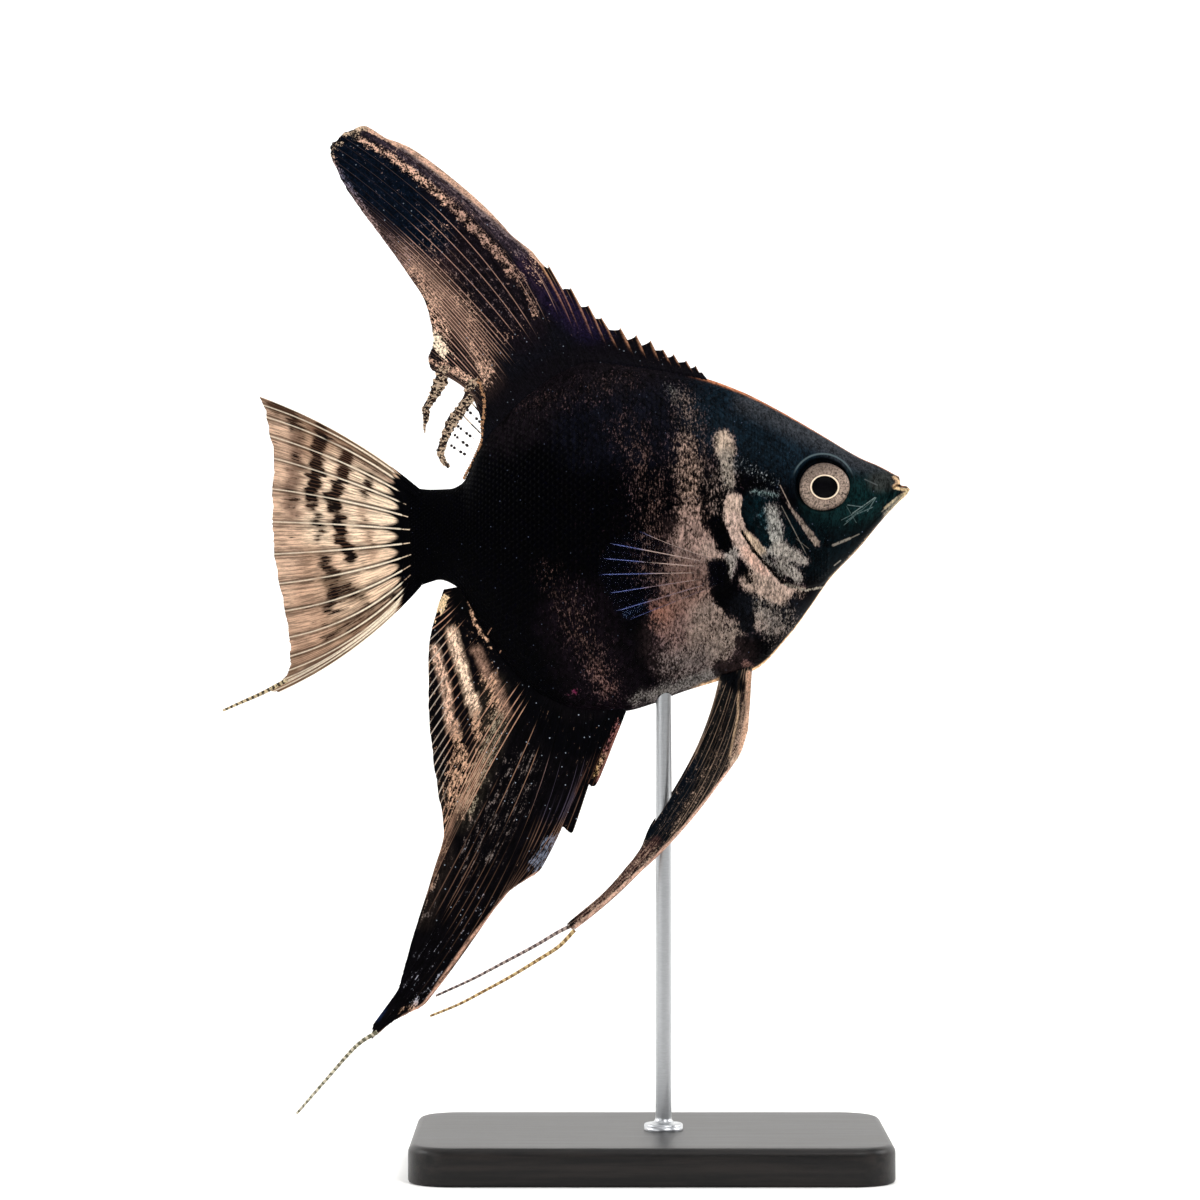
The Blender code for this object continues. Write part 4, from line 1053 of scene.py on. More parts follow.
def ray_finish(name, line, fine, fine_tone=None, shade=0.0, clear=None, glints=0.0, rough=0.45,
               strands=4.5, run=10.0, grit=0.26, hair=0.5, crisp=0.6, bold=0.75):
    """Fin: streaked, flecked web with a thin line on each ray and finer ones between them.

    line is half a ray's width in mm; strands and run are how fine the streaks are across and
    along, and grit how far plain grain takes their place. fine is how many finer rays there are
    to a spacing, the shares of length over which they appear, and their strength, and hair is
    their width beside a ray's; crisp is how soft the flecks' edges are and bold how strong the
    streaks. shade darkens a line beside each ray; clear is the opacity of the web and of the
    rays. Pale specks, which are painted glints, can be added at a given strength.
    """
    fin = Finish(name)
    number, share = fin.parts(fin.node("ShaderNodeUVMap", {"uv_map": "rays"}))[:2]
    number = number * RAY_SPAN
    gap = fin.read("gap", out=2)
    show = fin.read("show", out=2)
    cover = fin.read("cover", out=2)
    # apart is how far the nearest ray is, as a share of the gap; vary breaks the rays' lines
    apart = (number + 0.5).fract() - 0.5
    vary = fin.noise(fin.node("ShaderNodeCombineXYZ", None, {0: number * 1.3, 1: share * 6}))
    fibre = fin.noise(fin.node("ShaderNodeCombineXYZ", None, {0: number * strands, 1: share * run}),
                      3.0, 0.7)
    grain = fin.noise(fin.place(3.6), 3.0, 0.7)
    broad = fin.noise(fin.place(0.7))
    # flecks of the web, denser where cover is more
    mixed = fibre * (1 - grit) + grain * grit
    level = cover * 1.25 - 0.13 + (broad - 0.5) * 0.6
    spots = ((level - (mixed - 0.5) * 3.2 - 0.5) / crisp + 0.5).step(0.0, 1.0)
    spots = spots * cover.step(0.0, 0.08)
    # lines on the rays, and the finer ones between them
    near = apart.size() * gap / (show * 0.8 + 0.2)
    rod = near.step(line * 1.7, line * 0.4) * vary.step(0.22, 0.42)
    between = ((number * fine[0] + 0.5).fract() - 0.5).size() * gap / fine[0]
    thin = between.step(line * hair * 2, line * hair * 0.4) * share.step(fine[1], fine[2])
    thin = thin * fine[3] * vary.step(0.3, 0.5)
    # streaks darken and lighten both the web and its flecks
    streak = mixed.step(0.62, 0.38)
    web = fin.read("web")
    web = fin.mix(streak, fin.mix(bold, web, BLACK), fin.mix(bold - 0.05, web, web, "ADD"))
    fleck = fin.read("fleck")
    light = fin.mix(streak, fin.mix(0.6, fleck, BLACK), fin.mix(0.6, fleck, fleck, "ADD"))
    tint = fin.mix(spots, web, light)
    if shade:
        beside = (apart.size() * gap - line * 2.6).size().step(line * 1.8, line * 0.5) * show * shade
        tint = fin.mix(beside * vary.step(0.24, 0.44), tint, fin.mix(0.94, tint, BLACK))
    tone = fin.read("ray")
    tint = fin.mix(thin * show, tint, colour(*fine_tone) if fine_tone else tone)
    tint = fin.mix(rod * show, tint, fin.mix(grain.step(0.7, 0.3) * 0.34, tone, BLACK))
    # painted glints: pale blue specks
    if glints:
        fin_glint = fin.scattered(0.9).step(0.11, 0.05) * vary.step(0.42, 0.6) * glints
        tint = fin.mix(fin_glint, tint, colour(176, 188, 204))
    sockets = {
        "Base Color": tint,
        "Roughness": rough + grain * 0.15,
        "Specular IOR Level": 0.02,
        "Normal": fin.bump(rod * 0.7 + fibre * 0.3, 0.05),
    }
    if clear:
        sockets["Alpha"] = clear[0] + (rod * show) * (clear[1] - clear[0]) + spots * clear[0]
    return fin.surface(sockets)


MOST_STRIPS = 400
MOST_RAYS = 64


def slipped(flat, strips, reach, slope, seed):
    """Where the marks are looked up: each narrow strip is shifted on its own along the rays."""
    shift = np.random.default_rng(seed).uniform(-reach, reach, MOST_STRIPS)
    shift = shift[(flat["number"] * strips).astype(int)]
    return flat["x"] + slope[0] * shift, flat["z"] + slope[1] * shift


def past_start(flat, first, spread, fade, seed):
    """0 near the root and 1 beyond: each ray comes up at its own distance from the body."""
    jog = np.random.default_rng(seed).uniform(0, spread, MOST_RAYS)
    jog = jog[np.round(flat["number"]).astype(int)]
    return 1 - soft(flat["length"], np.interp(flat["number"], *np.transpose(first)) + jog, fade)


def dress_fin(name, points, faces, flat, looks, material, slot, node):
    """Fin object with its layers: looks gives web, fleck, cover, ray and show for each point."""
    obj = mesh_piece(name, points, faces, material, {**looks, "gap": flat["gap"]},
                     {"rays": flat["rays"]})
    mount(obj, slot, node)


# Marks of a web as on the skin; those of its flecks and of how far the rays show have a value last
DORSAL_WEB = [
    ([(-20, 151), (-8, 136)], 4, 3.5, 4, 0.9, (16, 11, 16)),
    ([(-30, 149.5), (-22, 143.2)], 1, 2, 4, 0.7, (46, 33, 36)),
    ([(-36, 162), (-29.4, 157), (-22, 149.6)], 2.6, 2.2, 3.5, 1, (3, 10, 21)),
    ([(-31.8, 166), (-26.4, 162.6), (-18.7, 157), (-10, 149.2), (-3.4, 142.6)],
     0.6, 0.8, 1, 0.9, (46, 38, 46)),
    ([(-6.4, 144.6), (-3, 140.2), (2.8, 135)], 0.6, 0.8, 2.2, 0.8, (30, 20, 38)),
    ([(-1, 139), (5, 133.5)], 1.6, 1.6, 2.6, 0.7, (17, 12, 34)),
    ([(-20.6, 141), (-20, 133.4)], 1.4, 1.8, 2.6, 0.9, (34, 24, 22)),
    ([(-15.4, 134.6), (-13.6, 128.6), (-11.8, 124.8)], 1.4, 1.4, 2.2, 0.9, (30, 22, 22)),
    ([(-11.4, 120.6), (-9.4, 123.2), (-1, 128.7), (8, 131), (20, 128)], 0.6, 0.8, 2.4, 0.9,
     (9, 7, 11)),
]
DORSAL_FLECK = [
    ([(-22, 147), (-10, 136)], 3.6, 2.6, 3, 0.2),
    ([(-35, 160), (-26, 152)], 2, 2, 2.5, 0.08),
    ([(-26.4, 162.8), (-19.5, 157.4), (-12.4, 151.6), (-6.6, 146.2), (-4, 142)],
     0.6, 0.8, 0.8, 0.3),
    ([(-37.7, 162.9), (-35.8, 165), (-32.8, 166.3)], 0.1, 0.1, 1.1, 0.5),
    ([(-32.2, 166.5), (-26.6, 163.6), (-18.9, 158.3), (-10.2, 150.5), (-5.4, 146.7),
      (-3.2, 144.6)], 0.3, 0.5, 0.5, 0.86),
    ([(-33.4, 164.6), (-28.4, 162), (-23.9, 158.6), (-18.6, 154), (-13.9, 149.4),
      (-10.1, 145.2), (-7.6, 142.2)], 0.1, 0.25, 1.3, 0.5),
    ([(-7.2, 141.6), (-5.7, 139.2), (-5, 136.6)], 0.2, 0.1, 1.3, 0.36),
    ([(-37.8, 161.8), (-31.4, 151.6), (-25.8, 143.6)], 0.05, 0.2, 1, 0.5),
    ([(-28, 148.4), (-24, 143.6)], 0.2, 0.6, 2.2, 0.3),
    ([(-25, 144.4), (-21.4, 139), (-20.2, 133.4)], 0.4, 1.1, 1.8, 0.4),
    ([(-17, 138.8), (-14.9, 132.8), (-12.8, 127.2)], 0.2, 0.7, 1.8, 0.4),
    ([(-13.8, 128.8), (-13.2, 125.2)], 0.3, 0.3, 1.6, 0.42),
    ([(-21.2, 132.4), (-18.8, 129.6)], 0.5, 0.6, 0.8, 0.66),
    ([(-21.4, 129), (-18, 127.4), (-15.2, 126)], 0.3, 0.3, 0.9, 0.5),
    ([(-20.2, 140.6), (-17, 136), (-16, 133.4)], 0.1, 0.3, 0.9, 0.2),
    ([(-17.5, 133.4), (-17.3, 128.6)], 0.15, 0.2, 0.35, 0),
    ([(-14.8, 132.8), (-13.4, 130.2)], 0.2, 0.2, 0.5, 0.1),
    ([(-18.9, 130), (-18, 128.2)], 0.3, 0.3, 0.3, 0),
    ([(-15.8, 129), (-14.4, 126.6)], 0.3, 0.3, 0.5, 0.05),
    ([(-21.9, 131), (-20.6, 129)], 0.15, 0.3, 0.4, 0.05),
    ([(-11, 119), (-8.4, 124.4), (0, 128.2), (10, 129.6)], 1.2, 1.2, 2, 0),
]
DORSAL_SHOW = [
    ([(-22, 146), (-15, 140), (-11, 130)], 3.5, 3.5, 3, 0.68),
    ([(-20, 149.5), (-9, 138)], 2.5, 2.5, 3, 0.62),
    ([(-20, 138), (-16, 130)], 2, 2, 2, 0.85),
    ([(-26.4, 162.8), (-18.6, 156.4), (-8.4, 146.4)], 1.2, 2, 1, 0.1),
    ([(-4, 142), (-1.4, 134)], 0.8, 0.8, 2, 0.6),
    ([(0, 139), (16, 130)], 2.6, 1.6, 2.2, 0.6),
    ([(-37, 163), (-28, 155)], 2.4, 2, 6, 0.08),
]
dorsal_roots = body_edge(BACK, np.array([ray[0] for ray in DORSAL]))
points, faces, flat = fin_sheet(dorsal_roots, DORSAL, DORSAL_SPACING, 12, notch=DORSAL_NOTCH,
                                seed=11)
x, z, share = flat["x"], flat["z"], flat["share"]
mark_x, mark_z = slipped(flat, 3, 0.5, (-0.7, 0.7), 5)
is_spine = soft(flat["number"], 12, 0.3)
pale_tip = is_spine * soft(-share, -0.78, 0.12)
# painted highlight: the front edge of each spine near its tip is lightened to tan
lit_front_edge = is_spine * soft(-share, -0.7, 0.4) * soft(flat["number"] % 1, 0.03, 0.12)
dorsal_looks = {
    "web": mix_in(mix_in(paint(x, z, (9, 9, 15), DORSAL_WEB), 0.9 * pale_tip, (8, 7, 9)),
                  0.7 * lit_front_edge, (186, 132, 100)),
    "fleck": paint(x, z, (192, 154, 132), [
        ([(-26.4, 162.4), (-19.3, 156.9), (-12.2, 151), (-6.8, 146)], 0.5, 0.7, 0.5, 0.9,
         (78, 70, 76)),
        ([(-37, 159), (-27, 146)], 1.6, 1.6, 2, 0.8, (110, 92, 96)),
        ([(-34, 159), (-24, 150)], 1.6, 1.6, 2, 0.8, (60, 70, 92)),
        ([(-18, 147), (-9, 137)], 2, 2, 2, 0.9, (92, 80, 84)),
        ([(-18, 154), (-10.1, 145.2), (-5.4, 138)], 0.8, 1, 0.8, 0.9, (152, 120, 106)),
        ([(-21, 139), (-19, 132), (-13, 125)], 1.6, 1.6, 1.6, 0.8, (206, 168, 144)),
        ([(-21.2, 132.6), (-19, 130.2)], 0.8, 0.8, 0.6, 1, (228, 208, 182)),
        ([(-37.6, 162.6), (-33, 166.2)], 0.8, 0.8, 0.7, 1, (176, 152, 128))]),
    "cover": amounts(mark_x, mark_z, 0.04, DORSAL_FLECK) * soft(-flat["length"], -1.0, 2.5),
    "ray": mix_in(mix_in(paint(x, z, (212, 168, 146), []), is_spine, (142, 98, 98)), pale_tip,
                  (196, 150, 112)),
    "show": np.clip(amounts(x, z, 0.25, DORSAL_SHOW)
                    * past_start(flat, [(0, 1.5), (12, 4), (16, 5), (21, 4), (26, 3), (32, 1.5),
                                        (45, 0.5)], 3, 4, 6)
                    + 0.5 * pale_tip, 0, 1),
}
dress_fin("dorsal_fin_rayed", points, faces, flat, dorsal_looks,
          ray_finish("dorsal_web", 0.07, (2, 0.25, 0.6, 0.3), glints=0.5, run=34.0, grit=0.55,
                     crisp=0.4),
          "dorsal_fin", "dorsal_fin")

# ------------------------------------------------------------------ torn streamers of the dorsal
# Two worn strips of web hang from the fin's rear corner, each of strands woven over a dark core.
# Between them and the back are a few bare rays with the knotted cross fibres that once held the
# web, and a frayed seam runs down the back's edge.

# Middle line and half width: (x, z, half width)
STREAMERS = {"front": [(-19.6, 128.2, 1.2), (-19.9, 126.2, 1.35), (-20.6, 124.6, 1.25),
                       (-21.4, 122.9, 0.85), (-22.3, 121.6, 0.75), (-22.4, 120, 0.65),
                       (-22.6, 118.6, 0.3), (-22.6, 117.4, 0.08)],
             "rear": [(-15.0, 126.2, 1.2), (-15.1, 124.3, 1.4), (-15.9, 122.6, 1.05),
                      (-16.9, 120.9, 1.15), (-18.1, 119.5, 1.2), (-18.9, 117.8, 0.95),
                      (-19.6, 115.9, 0.8), (-20.1, 114.4, 0.75), (-19.6, 113, 0.6),
                      (-18.7, 111.9, 0.3)]}
BARE_RAYS = [[(-13.1, 124.5), (-15.6, 121.6), (-18.6, 117.5)],
             [(-16.7, 120.5), (-15, 118.7), (-13.5, 117.2)],
             [(-15.3, 122.5), (-14, 121), (-12.9, 119.9)]]
CROSS_FIBRES = [[(-17.5, 118.7), (-16.2, 117.6), (-14.6, 116.4)],
                [(-18, 117.3), (-16.8, 116.2), (-15, 114.8)],
                [(-18.6, 115.6), (-17.2, 114.6), (-15.4, 113.6)],
                [(-16.1, 121.4), (-14.6, 120), (-13.2, 118.6)],
                [(-14.4, 123.6), (-13.6, 122.6), (-12.6, 121.6)]]
BACK_SEAM = [(-14.2, 126), (-13.4, 124.2), (-13.1, 122.4), (-13.1, 120.6), (-13.4, 118.8),
             (-13.3, 117.3), (-13.45, 116.2), (-13.9, 115), (-14.4, 113.9), (-15, 112.6),
             (-15.8, 111.2), (-16.4, 110)]


def curve_through(knots, count):
    """Points on a smooth curve through the knots, evenly spaced in knot number."""
    knots = np.array(knots, dtype=float)
    t = np.linspace(0, len(knots) - 1, count)
    i = np.clip(t.astype(int), 0, len(knots) - 2)
    f = (t - i)[:, None]
    slope = np.gradient(knots, axis=0)
    return ((1 + 2 * f) * (1 - f) ** 2 * knots[i] + f * (1 - f) ** 2 * slope[i]
            + f * f * (3 - 2 * f) * knots[i + 1] + f * f * (f - 1) * slope[i + 1])


def strip(line, half_width, half_thick, count):
    """Closed strip along rows (x, y, z): an ellipse of count points carried square to it in X, Z.

    Half width and half thickness are one number, or one for each row.
    """
    half_width = np.broadcast_to(half_width, len(line))
    half_thick = np.broadcast_to(half_thick, len(line))
    along = np.gradient(line, axis=0)
    across = np.stack([-along[:, 2], np.zeros(len(line)), along[:, 0]], axis=1)
    across /= np.linalg.norm(across, axis=1)[:, None]
    angle = np.arange(count) * 2 * np.pi / count
    out = across[:, None] * (half_width[:, None] * np.cos(angle))[..., None]
    out[..., 1] += half_thick[:, None] * np.sin(angle)
    points = np.concatenate([(line[:, None] + out).reshape(-1, 3), [line[0], line[-1]]])
    return points, tube_faces(len(line), count)


def flat_line(knots, count, y=0.0):
    """Curve through (x, z) knots at one Y."""
    path = curve_through(knots, count)
    return np.stack([path[:, 0], np.full(count, y), path[:, 1]], axis=1)


def joined(parts):
    """Several shapes as one: their points in turn, and their faces numbered on."""
    starts = np.cumsum([0] + [len(points) for points, faces in parts[:-1]])
    faces = [f + start for start, (points, part) in zip(starts, parts) for f in part]
    return np.concatenate([points for points, faces in parts]), faces


def banded(name, pale, dark, step_mm, slant, amount=0.9, mottle=0.5):
    """Worn ray or strip: pale joints with dark bands across them, step_mm apart along the slant.

    amount is the strength of the bands and mottle that of the spots between them.
    """
    made = Finish(name)
    pale = colour(*pale)
    dark = colour(*dark)
    x, y, z = made.parts(made.place())
    jitter = made.noise(made.place(1.6))
    part = ((x * slant[0] + z * slant[1]) / step_mm + jitter * 0.9).fract()
    bands = part.step(0.38, 0.62) * part.step(1.0, 0.86)
    grain = made.noise(made.place(2.3), 3.0, 0.7)
    pale = made.mix(grain.step(0.36, 0.62), made.mix(0.6, pale, BLACK), pale)
    worn = (bands * amount + (grain - 0.5) * mottle * 5 + 0.1).step(0.2, 0.55)
    return made.surface({
        "Base Color": made.mix(worn, pale, dark),
        "Roughness": 0.5,
        "Specular IOR Level": 0.1,
        "Normal": made.bump(grain, 0.03),
    })


def braided(knots, count=150, strands=9):
    """Strip of strands that weave across its width as they run, each one beaded.

    A strand lies width * (0.55 sin(turn) + 0.3 sin(2.6 turn)) to the side of the middle, and each
    has a turn of its own.
    """
    rng = np.random.default_rng(count + len(knots))
    path = curve_through(knots, count)
    run = np.concatenate([[0], np.cumsum(np.linalg.norm(np.diff(path[:, :2], axis=0), axis=1))])
    along = np.gradient(path[:, :2], axis=0)
    across = np.stack([-along[:, 1], along[:, 0]], axis=1)
    across /= np.linalg.norm(across, axis=1)[:, None]
    parts = []
    for k in range(strands):
        turn = run * rng.uniform(0.9, 2.9) + k * 2 * np.pi / strands
        aside = path[:, 2] * (0.55 * np.sin(turn) + 0.3 * np.sin(2.6 * turn + k))
        middle = path[:, :2] + across * aside[:, None]
        line = np.stack([middle[:, 0], 0.16 * np.cos(turn), middle[:, 1]], axis=1)
        beads = (0.04 * np.sin(run * rng.uniform(5, 9) + k * 2)
                 + 0.03 * np.sin(run * rng.uniform(11, 17) + k))
        parts.append(strip(line, 0.05 + 0.055 * path[:, 2] + beads * np.clip(path[:, 2], 0, 1),
                           0.1, 8))
    return joined(parts)


torn_material = banded("torn_web", (248, 216, 184), (20, 12, 10), 0.62, (0.3, 1.0),
                       0.6, 2.2)
for label, knots in STREAMERS.items():
    points, faces = braided(knots)
    streamer = mesh_piece("dorsal_streamer_" + label + "_torn", points, faces, torn_material)
    mount(streamer, "dorsal_fin", "dorsal_streamer_" + label)

cores = joined([strip(flat_line([knot[:2] for knot in knots], 90),
                      0.72 * curve_through(knots, 90)[:, 2], 0.07, 8)
                for knots in STREAMERS.values()])
fibres = joined([strip(flat_line(path, 24), 0.05, 0.08, 8) for path in CROSS_FIBRES])
# Knots sit in two pairs on each cross fibre, widest in their middle
knot_width = 0.26 * np.sin(np.linspace(0.5, 2.64, 7))
fibre_knots = joined([strip(flat_line(path, 49)[i:i + 7], knot_width, 0.14, 8)
                      for path in CROSS_FIBRES for i in (2, 10, 26, 34)])
bare = joined([strip(flat_line(path, 40), 0.13, 0.12, 8) for path in BARE_RAYS])
seam_width = np.linspace(0.36, 0.24, 120) + 0.09 * np.sin(np.arange(120) * 1.9)
seam = strip(flat_line(BACK_SEAM, 120), seam_width, 0.4, 12)
for name, (points, faces), material in (
        ("dorsal_streamer_cores", cores,
         banded("streamer_cores", (64, 42, 34), (16, 11, 10), 0.5, (0.3, 1.0))),
        ("dorsal_cross_fibres", fibres,
         banded("cross_fibres", (226, 216, 208), (120, 108, 100), 0.85, (-0.7, 0.7))),
        ("dorsal_fibre_knots", fibre_knots,
         banded("fibre_knots", (52, 40, 40), (12, 10, 12), 0.4, (-0.7, 0.7))),
        ("dorsal_bare_rays", bare,
         banded("bare_rays", (226, 204, 180), (44, 34, 30), 1.35, (0.4, 0.92), 0.7)),
        ("dorsal_back_seam", seam,
         banded("back_seam", (212, 158, 116), (16, 12, 12), 0.9, (0.1, 1.0), 0.5, 1.3))):
    mount(mesh_piece(name, points, faces, material), "dorsal_fin")

# ------------------------------------------------------------------ anal fin
# The mirror of the dorsal under the body: a few short hooked spines, then long soft rays that run
# down and back to one thread. Three pale bands cross its upper rear part.

# Rays from front to rear, as the dorsal's
ANAL = [(9.6, 8.6, 70.2, 0), (8.4, 4.4, 60.6, 0.01), (8.1, 3.1, 61.3, 0.01),
        (6.8, 0.9, 53.3, 0.01), (6.5, -0.8, 54.3, 0.02), (4.5, -4.3, 47.2, 0.05),
        (4.2, -5.9, 46.1, 0.06), (3, -9.1, 44, 0.09), (2, -12.6, 40, 0.085),
        (1.2, -15.8, 36, 0.08), (0.5, -18.6, 32, 0.075), (0, -20.2, 29.6, 0.073),
        (-0.5, -22.8, 25.8, 0.06), (-1, -26.2, 23.9, 0.055), (-1.5, -29, 22, 0.05),
        (-1.9, -31.3, 20.2, 0.045), (-2.2, -31.6, 21.6, 0.04), (-2.7, -29.8, 24, 0.03),
        (-3.1, -28.2, 26, 0.025), (-3.5, -27, 28.4, 0.02), (-3.9, -26, 32, 0.012),
        (-4.5, -24.8, 36, 0.005), (-5.2, -22.9, 42, -0.02), (-6, -21.2, 47.4, -0.03),
        (-7, -19.6, 53.6, -0.035), (-8.6, -20.6, 60, -0.03), (-10.4, -21.5, 66.4, -0.02),
        (-13, -22.1, 73.8, -0.02), (-15.4, -22.1, 81.9, 0), (-16.8, -20.8, 88.8, 0.05),
        (-17.6, -19.6, 92.4, 0)]
ANAL_SPACING = [(0, 0), (7, 4), (15, 7), (22, 9), (30, 20)]
OUTER_BAND = [(-20.9, 82.8), (-20.1, 80.1), (-19.4, 77.7), (-19, 74.8), (-18.6, 71.9),
              (-17.8, 69.1)]
INNER_BAND = [(-18.2, 85.4), (-17.2, 82), (-16.2, 78.2), (-15.2, 75.2), (-14.6, 72.4)]
ANAL_WEB = [
    ([(-21, 60), (-20, 49.5), (-22.8, 40.2)], 1, 0.6, 2.4, 0.7, (30, 24, 21)),
    ([(-11.6, 76.5), (-11.4, 70), (-13.4, 64.5), (-17, 56)], 1, 1.2, 2.2, 0.8, (34, 30, 25)),
    (OUTER_BAND, 0.2, 0.3, 1, 0.85, (168, 136, 116)),
    (INNER_BAND, 0.4, 0.2, 1.1, 0.9, (196, 166, 142)),
    ([(-14.4, 82.6), (-12.7, 79.4), (-11.2, 76.2), (-9.8, 73)], 0.2, 0.5, 1.1, 0.75,
     (136, 106, 90)),
    ([(-17.6, 91.8), (-16.6, 90), (-15.4, 88.8)], 0.7, 0.9, 0.5, 1, (1, 1, 2)),
    ([(-12, 83.6), (-7.6, 78), (-4.6, 73.4), (-1, 68.6), (5, 68.5), (9, 70)], 0.1, 2.6, 1.4,
     0.98, (1, 1, 3)),
]
ANAL_FLECK = [
    ([(-7, 64), (-14, 50)], 2, 2, 3, 0.26),
    ([(-13.5, 41.5), (-20.5, 34), (-25, 27)], 2, 1, 2.5, 0.12),
    ([(-18.6, 60), (-20.4, 50), (-22.8, 40)], 0.4, 0.1, 2.2, 0.3),
    ([(-12.7, 79), (-11.6, 74)], 0.5, 0.5, 1.6, 0.42),
    ([(-10.6, 72.6), (-12.6, 66), (-16.4, 57)], 0.5, 0.7, 2, 0.44),
    ([(-16, 67), (-18.6, 60)], 0.8, 1, 1.8, 0.46),
    ([(-21.9, 86), (-21.6, 70), (-19.8, 60)], 0.2, 0.4, 0.9, 0.2),
    ([*OUTER_BAND, (-16.8, 66.2)], 0.1, 0.3, 1.2, 0.5),
    ([*INNER_BAND, (-14.1, 69)], 0.3, 0.2, 1.2, 0.55),
    ([(-20.4, 84.2), (-19, 80.9), (-18.2, 78.7), (-17.6, 75.2), (-16.8, 73.2), (-16.2, 70.7),
      (-15.6, 68.3), (-15, 65.6)], 0.22, 0.42, 0.4, 0),
    ([(-15.8, 90.1), (-14.4, 87), (-13.2, 84.8), (-12.1, 82.8)], 0.1, 0.05, 0.6, 0.56),
    ([(-17.4, 86.6), (-14, 84), (-12.4, 80)], 0.6, 0.8, 0.7, 0.16),
    ([(-19.4, 91), (-20.8, 88)], 0.35, 0.5, 0.6, 0.72),
    ([(-20.6, 88.2), (-19.2, 86.4)], 0.3, 0.4, 0.4, 0.1),
    ([(-17.8, 91.6), (-16.4, 89.4)], 0.5, 0.7, 0.4, 0),
    ([(-2, 52.3), (-4.6, 48.4)], 0.4, 0.4, 2, 0.5),
    ([(-22, 28.2), (-26.4, 24.4)], 0.2, 0.3, 0.8, 0.4),
    ([(8.4, 71.4), (4.6, 62.5)], 0.2, 0.15, 0.5, 0.45),
]
ANAL_SHOW = [
    ([(-16, 48), (-21, 43)], 2, 1.4, 2.4, 0.34),
    ([(1.5, 66), (0, 60), (-4, 53)], 1.2, 1.2, 2, 0.4),
    ([(-20.5, 86), (-21, 60), (-20.5, 55)], 2.6, 1.2, 2.4, 0.85),
    ([(-20.4, 52), (-22.8, 42)], 1, 0.6, 2, 0.4),
    ([(-4, 69), (-5, 64), (-8, 58)], 1.4, 1.4, 2.6, 0.6),
    ([(-9, 77), (-11, 68), (-14, 60)], 3, 2.2, 3, 0.95),
    ([(-23, 37), (-30, 23)], 3, 2, 5, 0),
]
anal_roots = body_edge(BELLY, np.array([ray[0] for ray in ANAL]))
points, faces, flat = fin_sheet(anal_roots, ANAL, ANAL_SPACING, ragged=0.02, per_ray=12, seed=7)
x, z, share = flat["x"], flat["z"], flat["share"]
mark_x, mark_z = slipped(flat, 3, 0.4, (-0.6, -0.8), 8)
anal_edges = [([(-4.6, 47.2), (-9.2, 43.9), (-15.8, 35.9), (-20.2, 29.5), (-22.8, 25.8),
                (-26.2, 23.8), (-30.6, 20.4)], 0.05, 0.2, 0.3, 1, (176, 136, 116)),
              ([(8.7, 70.6), (4.9, 61.4)], 0.1, 0.1, 0.4, 0.8, (128, 84, 74)),
              ([(-28.9, 25.6), (-30, 24)], 0.1, 0.2, 0.5, 0.8, (20, 34, 62))]
anal_looks = {
    "web": paint(mark_x, mark_z, (4, 3, 5), ANAL_WEB + anal_edges),
    "fleck": paint(mark_x, mark_z, (176, 140, 114), [
        ([(-6, 66), (-14, 48), (-20, 36)], 3, 4, 3, 0.9, (84, 80, 80)),
        ([(-10.6, 71.6), (-12.4, 66), (-15.6, 58)], 0.9, 1.2, 1.2, 0.9, (126, 116, 98)),
        ([(-20.5, 83), (-19.4, 77), (-18.6, 72)], 0.9, 0.9, 0.6, 1, (204, 168, 144)),
        ([(-18, 85), (-16.2, 78.2), (-15, 74)], 1, 0.9, 0.6, 1, (222, 192, 166)),
        ([(-2.6, 52.3), (-5, 48.4)], 1.4, 1.4, 1, 1, (92, 98, 112)),
        ([(-14, 41), (-24, 30)], 3, 3, 2, 1, (150, 150, 160)),
        ([(8.6, 71.4), (7, 67)], 1.4, 1, 1, 1, (112, 72, 70)),
        ([(5.4, 67.2), (4.4, 62.5)], 0.3, 0.3, 0.5, 0.8, (160, 128, 80)),
        ([(-19.4, 91.6), (-20.8, 87.2)], 0.8, 0.8, 0.6, 1, (214, 186, 146))]),
    "cover": amounts(mark_x, mark_z, 0.04, ANAL_FLECK),
    "ray": paint(x, z, (206, 158, 130), [
        ([(-8, 54), (-22, 46)], 4, 3, 5, 0.9, (158, 120, 100)),
        ([(2, 68), (-2, 58)], 3, 2, 2, 0.9, (86, 84, 112)),
        ([(7, 68), (3, 60)], 1.5, 1, 1, 0.9, (160, 110, 86)),
        ([(-21.5, 84), (-21, 60)], 1.5, 1.5, 1, 0.9, (206, 190, 174))]),
    "show": amounts(x, z, 0.14, ANAL_SHOW) * past_start(
        flat, [(0, 2.0), (4, 6.0), (7, 5.0), (8, 3.0), (9, 0.4), (12, -0.2), (20, -0.8)],
        1.6, 2.6, 9),
}
dress_fin("anal_fin_rayed", points, faces, flat, anal_looks,
          ray_finish("anal_web", 0.075, (3, 0.3, 0.55, 0.7), glints=0.9, strands=6.0, run=18.0,
                     grit=0.36, hair=0.85, crisp=0.4),
          "anal_fin", "anal_fin")


def thread(name, slot, knots, count, y, wide, thick, material):
    """Thread through (x, z) knots at one Y; wide and thick are its half sizes at root and tip."""
    points, faces = strip(flat_line(knots, count, y), np.linspace(*wide, count),
                          np.linspace(*thick, count), 10)
    mount(mesh_piece(name, points, faces, material), slot)


thread("anal_thread", "anal_fin", [(-30.2, 21.6), (-33.6, 19.3), (-38.6, 13.7), (-43.1, 8.5)], 70,
       0, (0.38, 0.2), (0.28, 0.15),
       banded("anal_thread_joints", (228, 218, 194), (92, 88, 70), 0.95, (0.7, 0.7), 0.62))

# ------------------------------------------------------------------ tail fin
# A broad fan of branched cream rays on a thin tan web, with broken dark bars across it. Its lower
# corner is drawn out into a thread; the black of the body runs out between the ray roots.

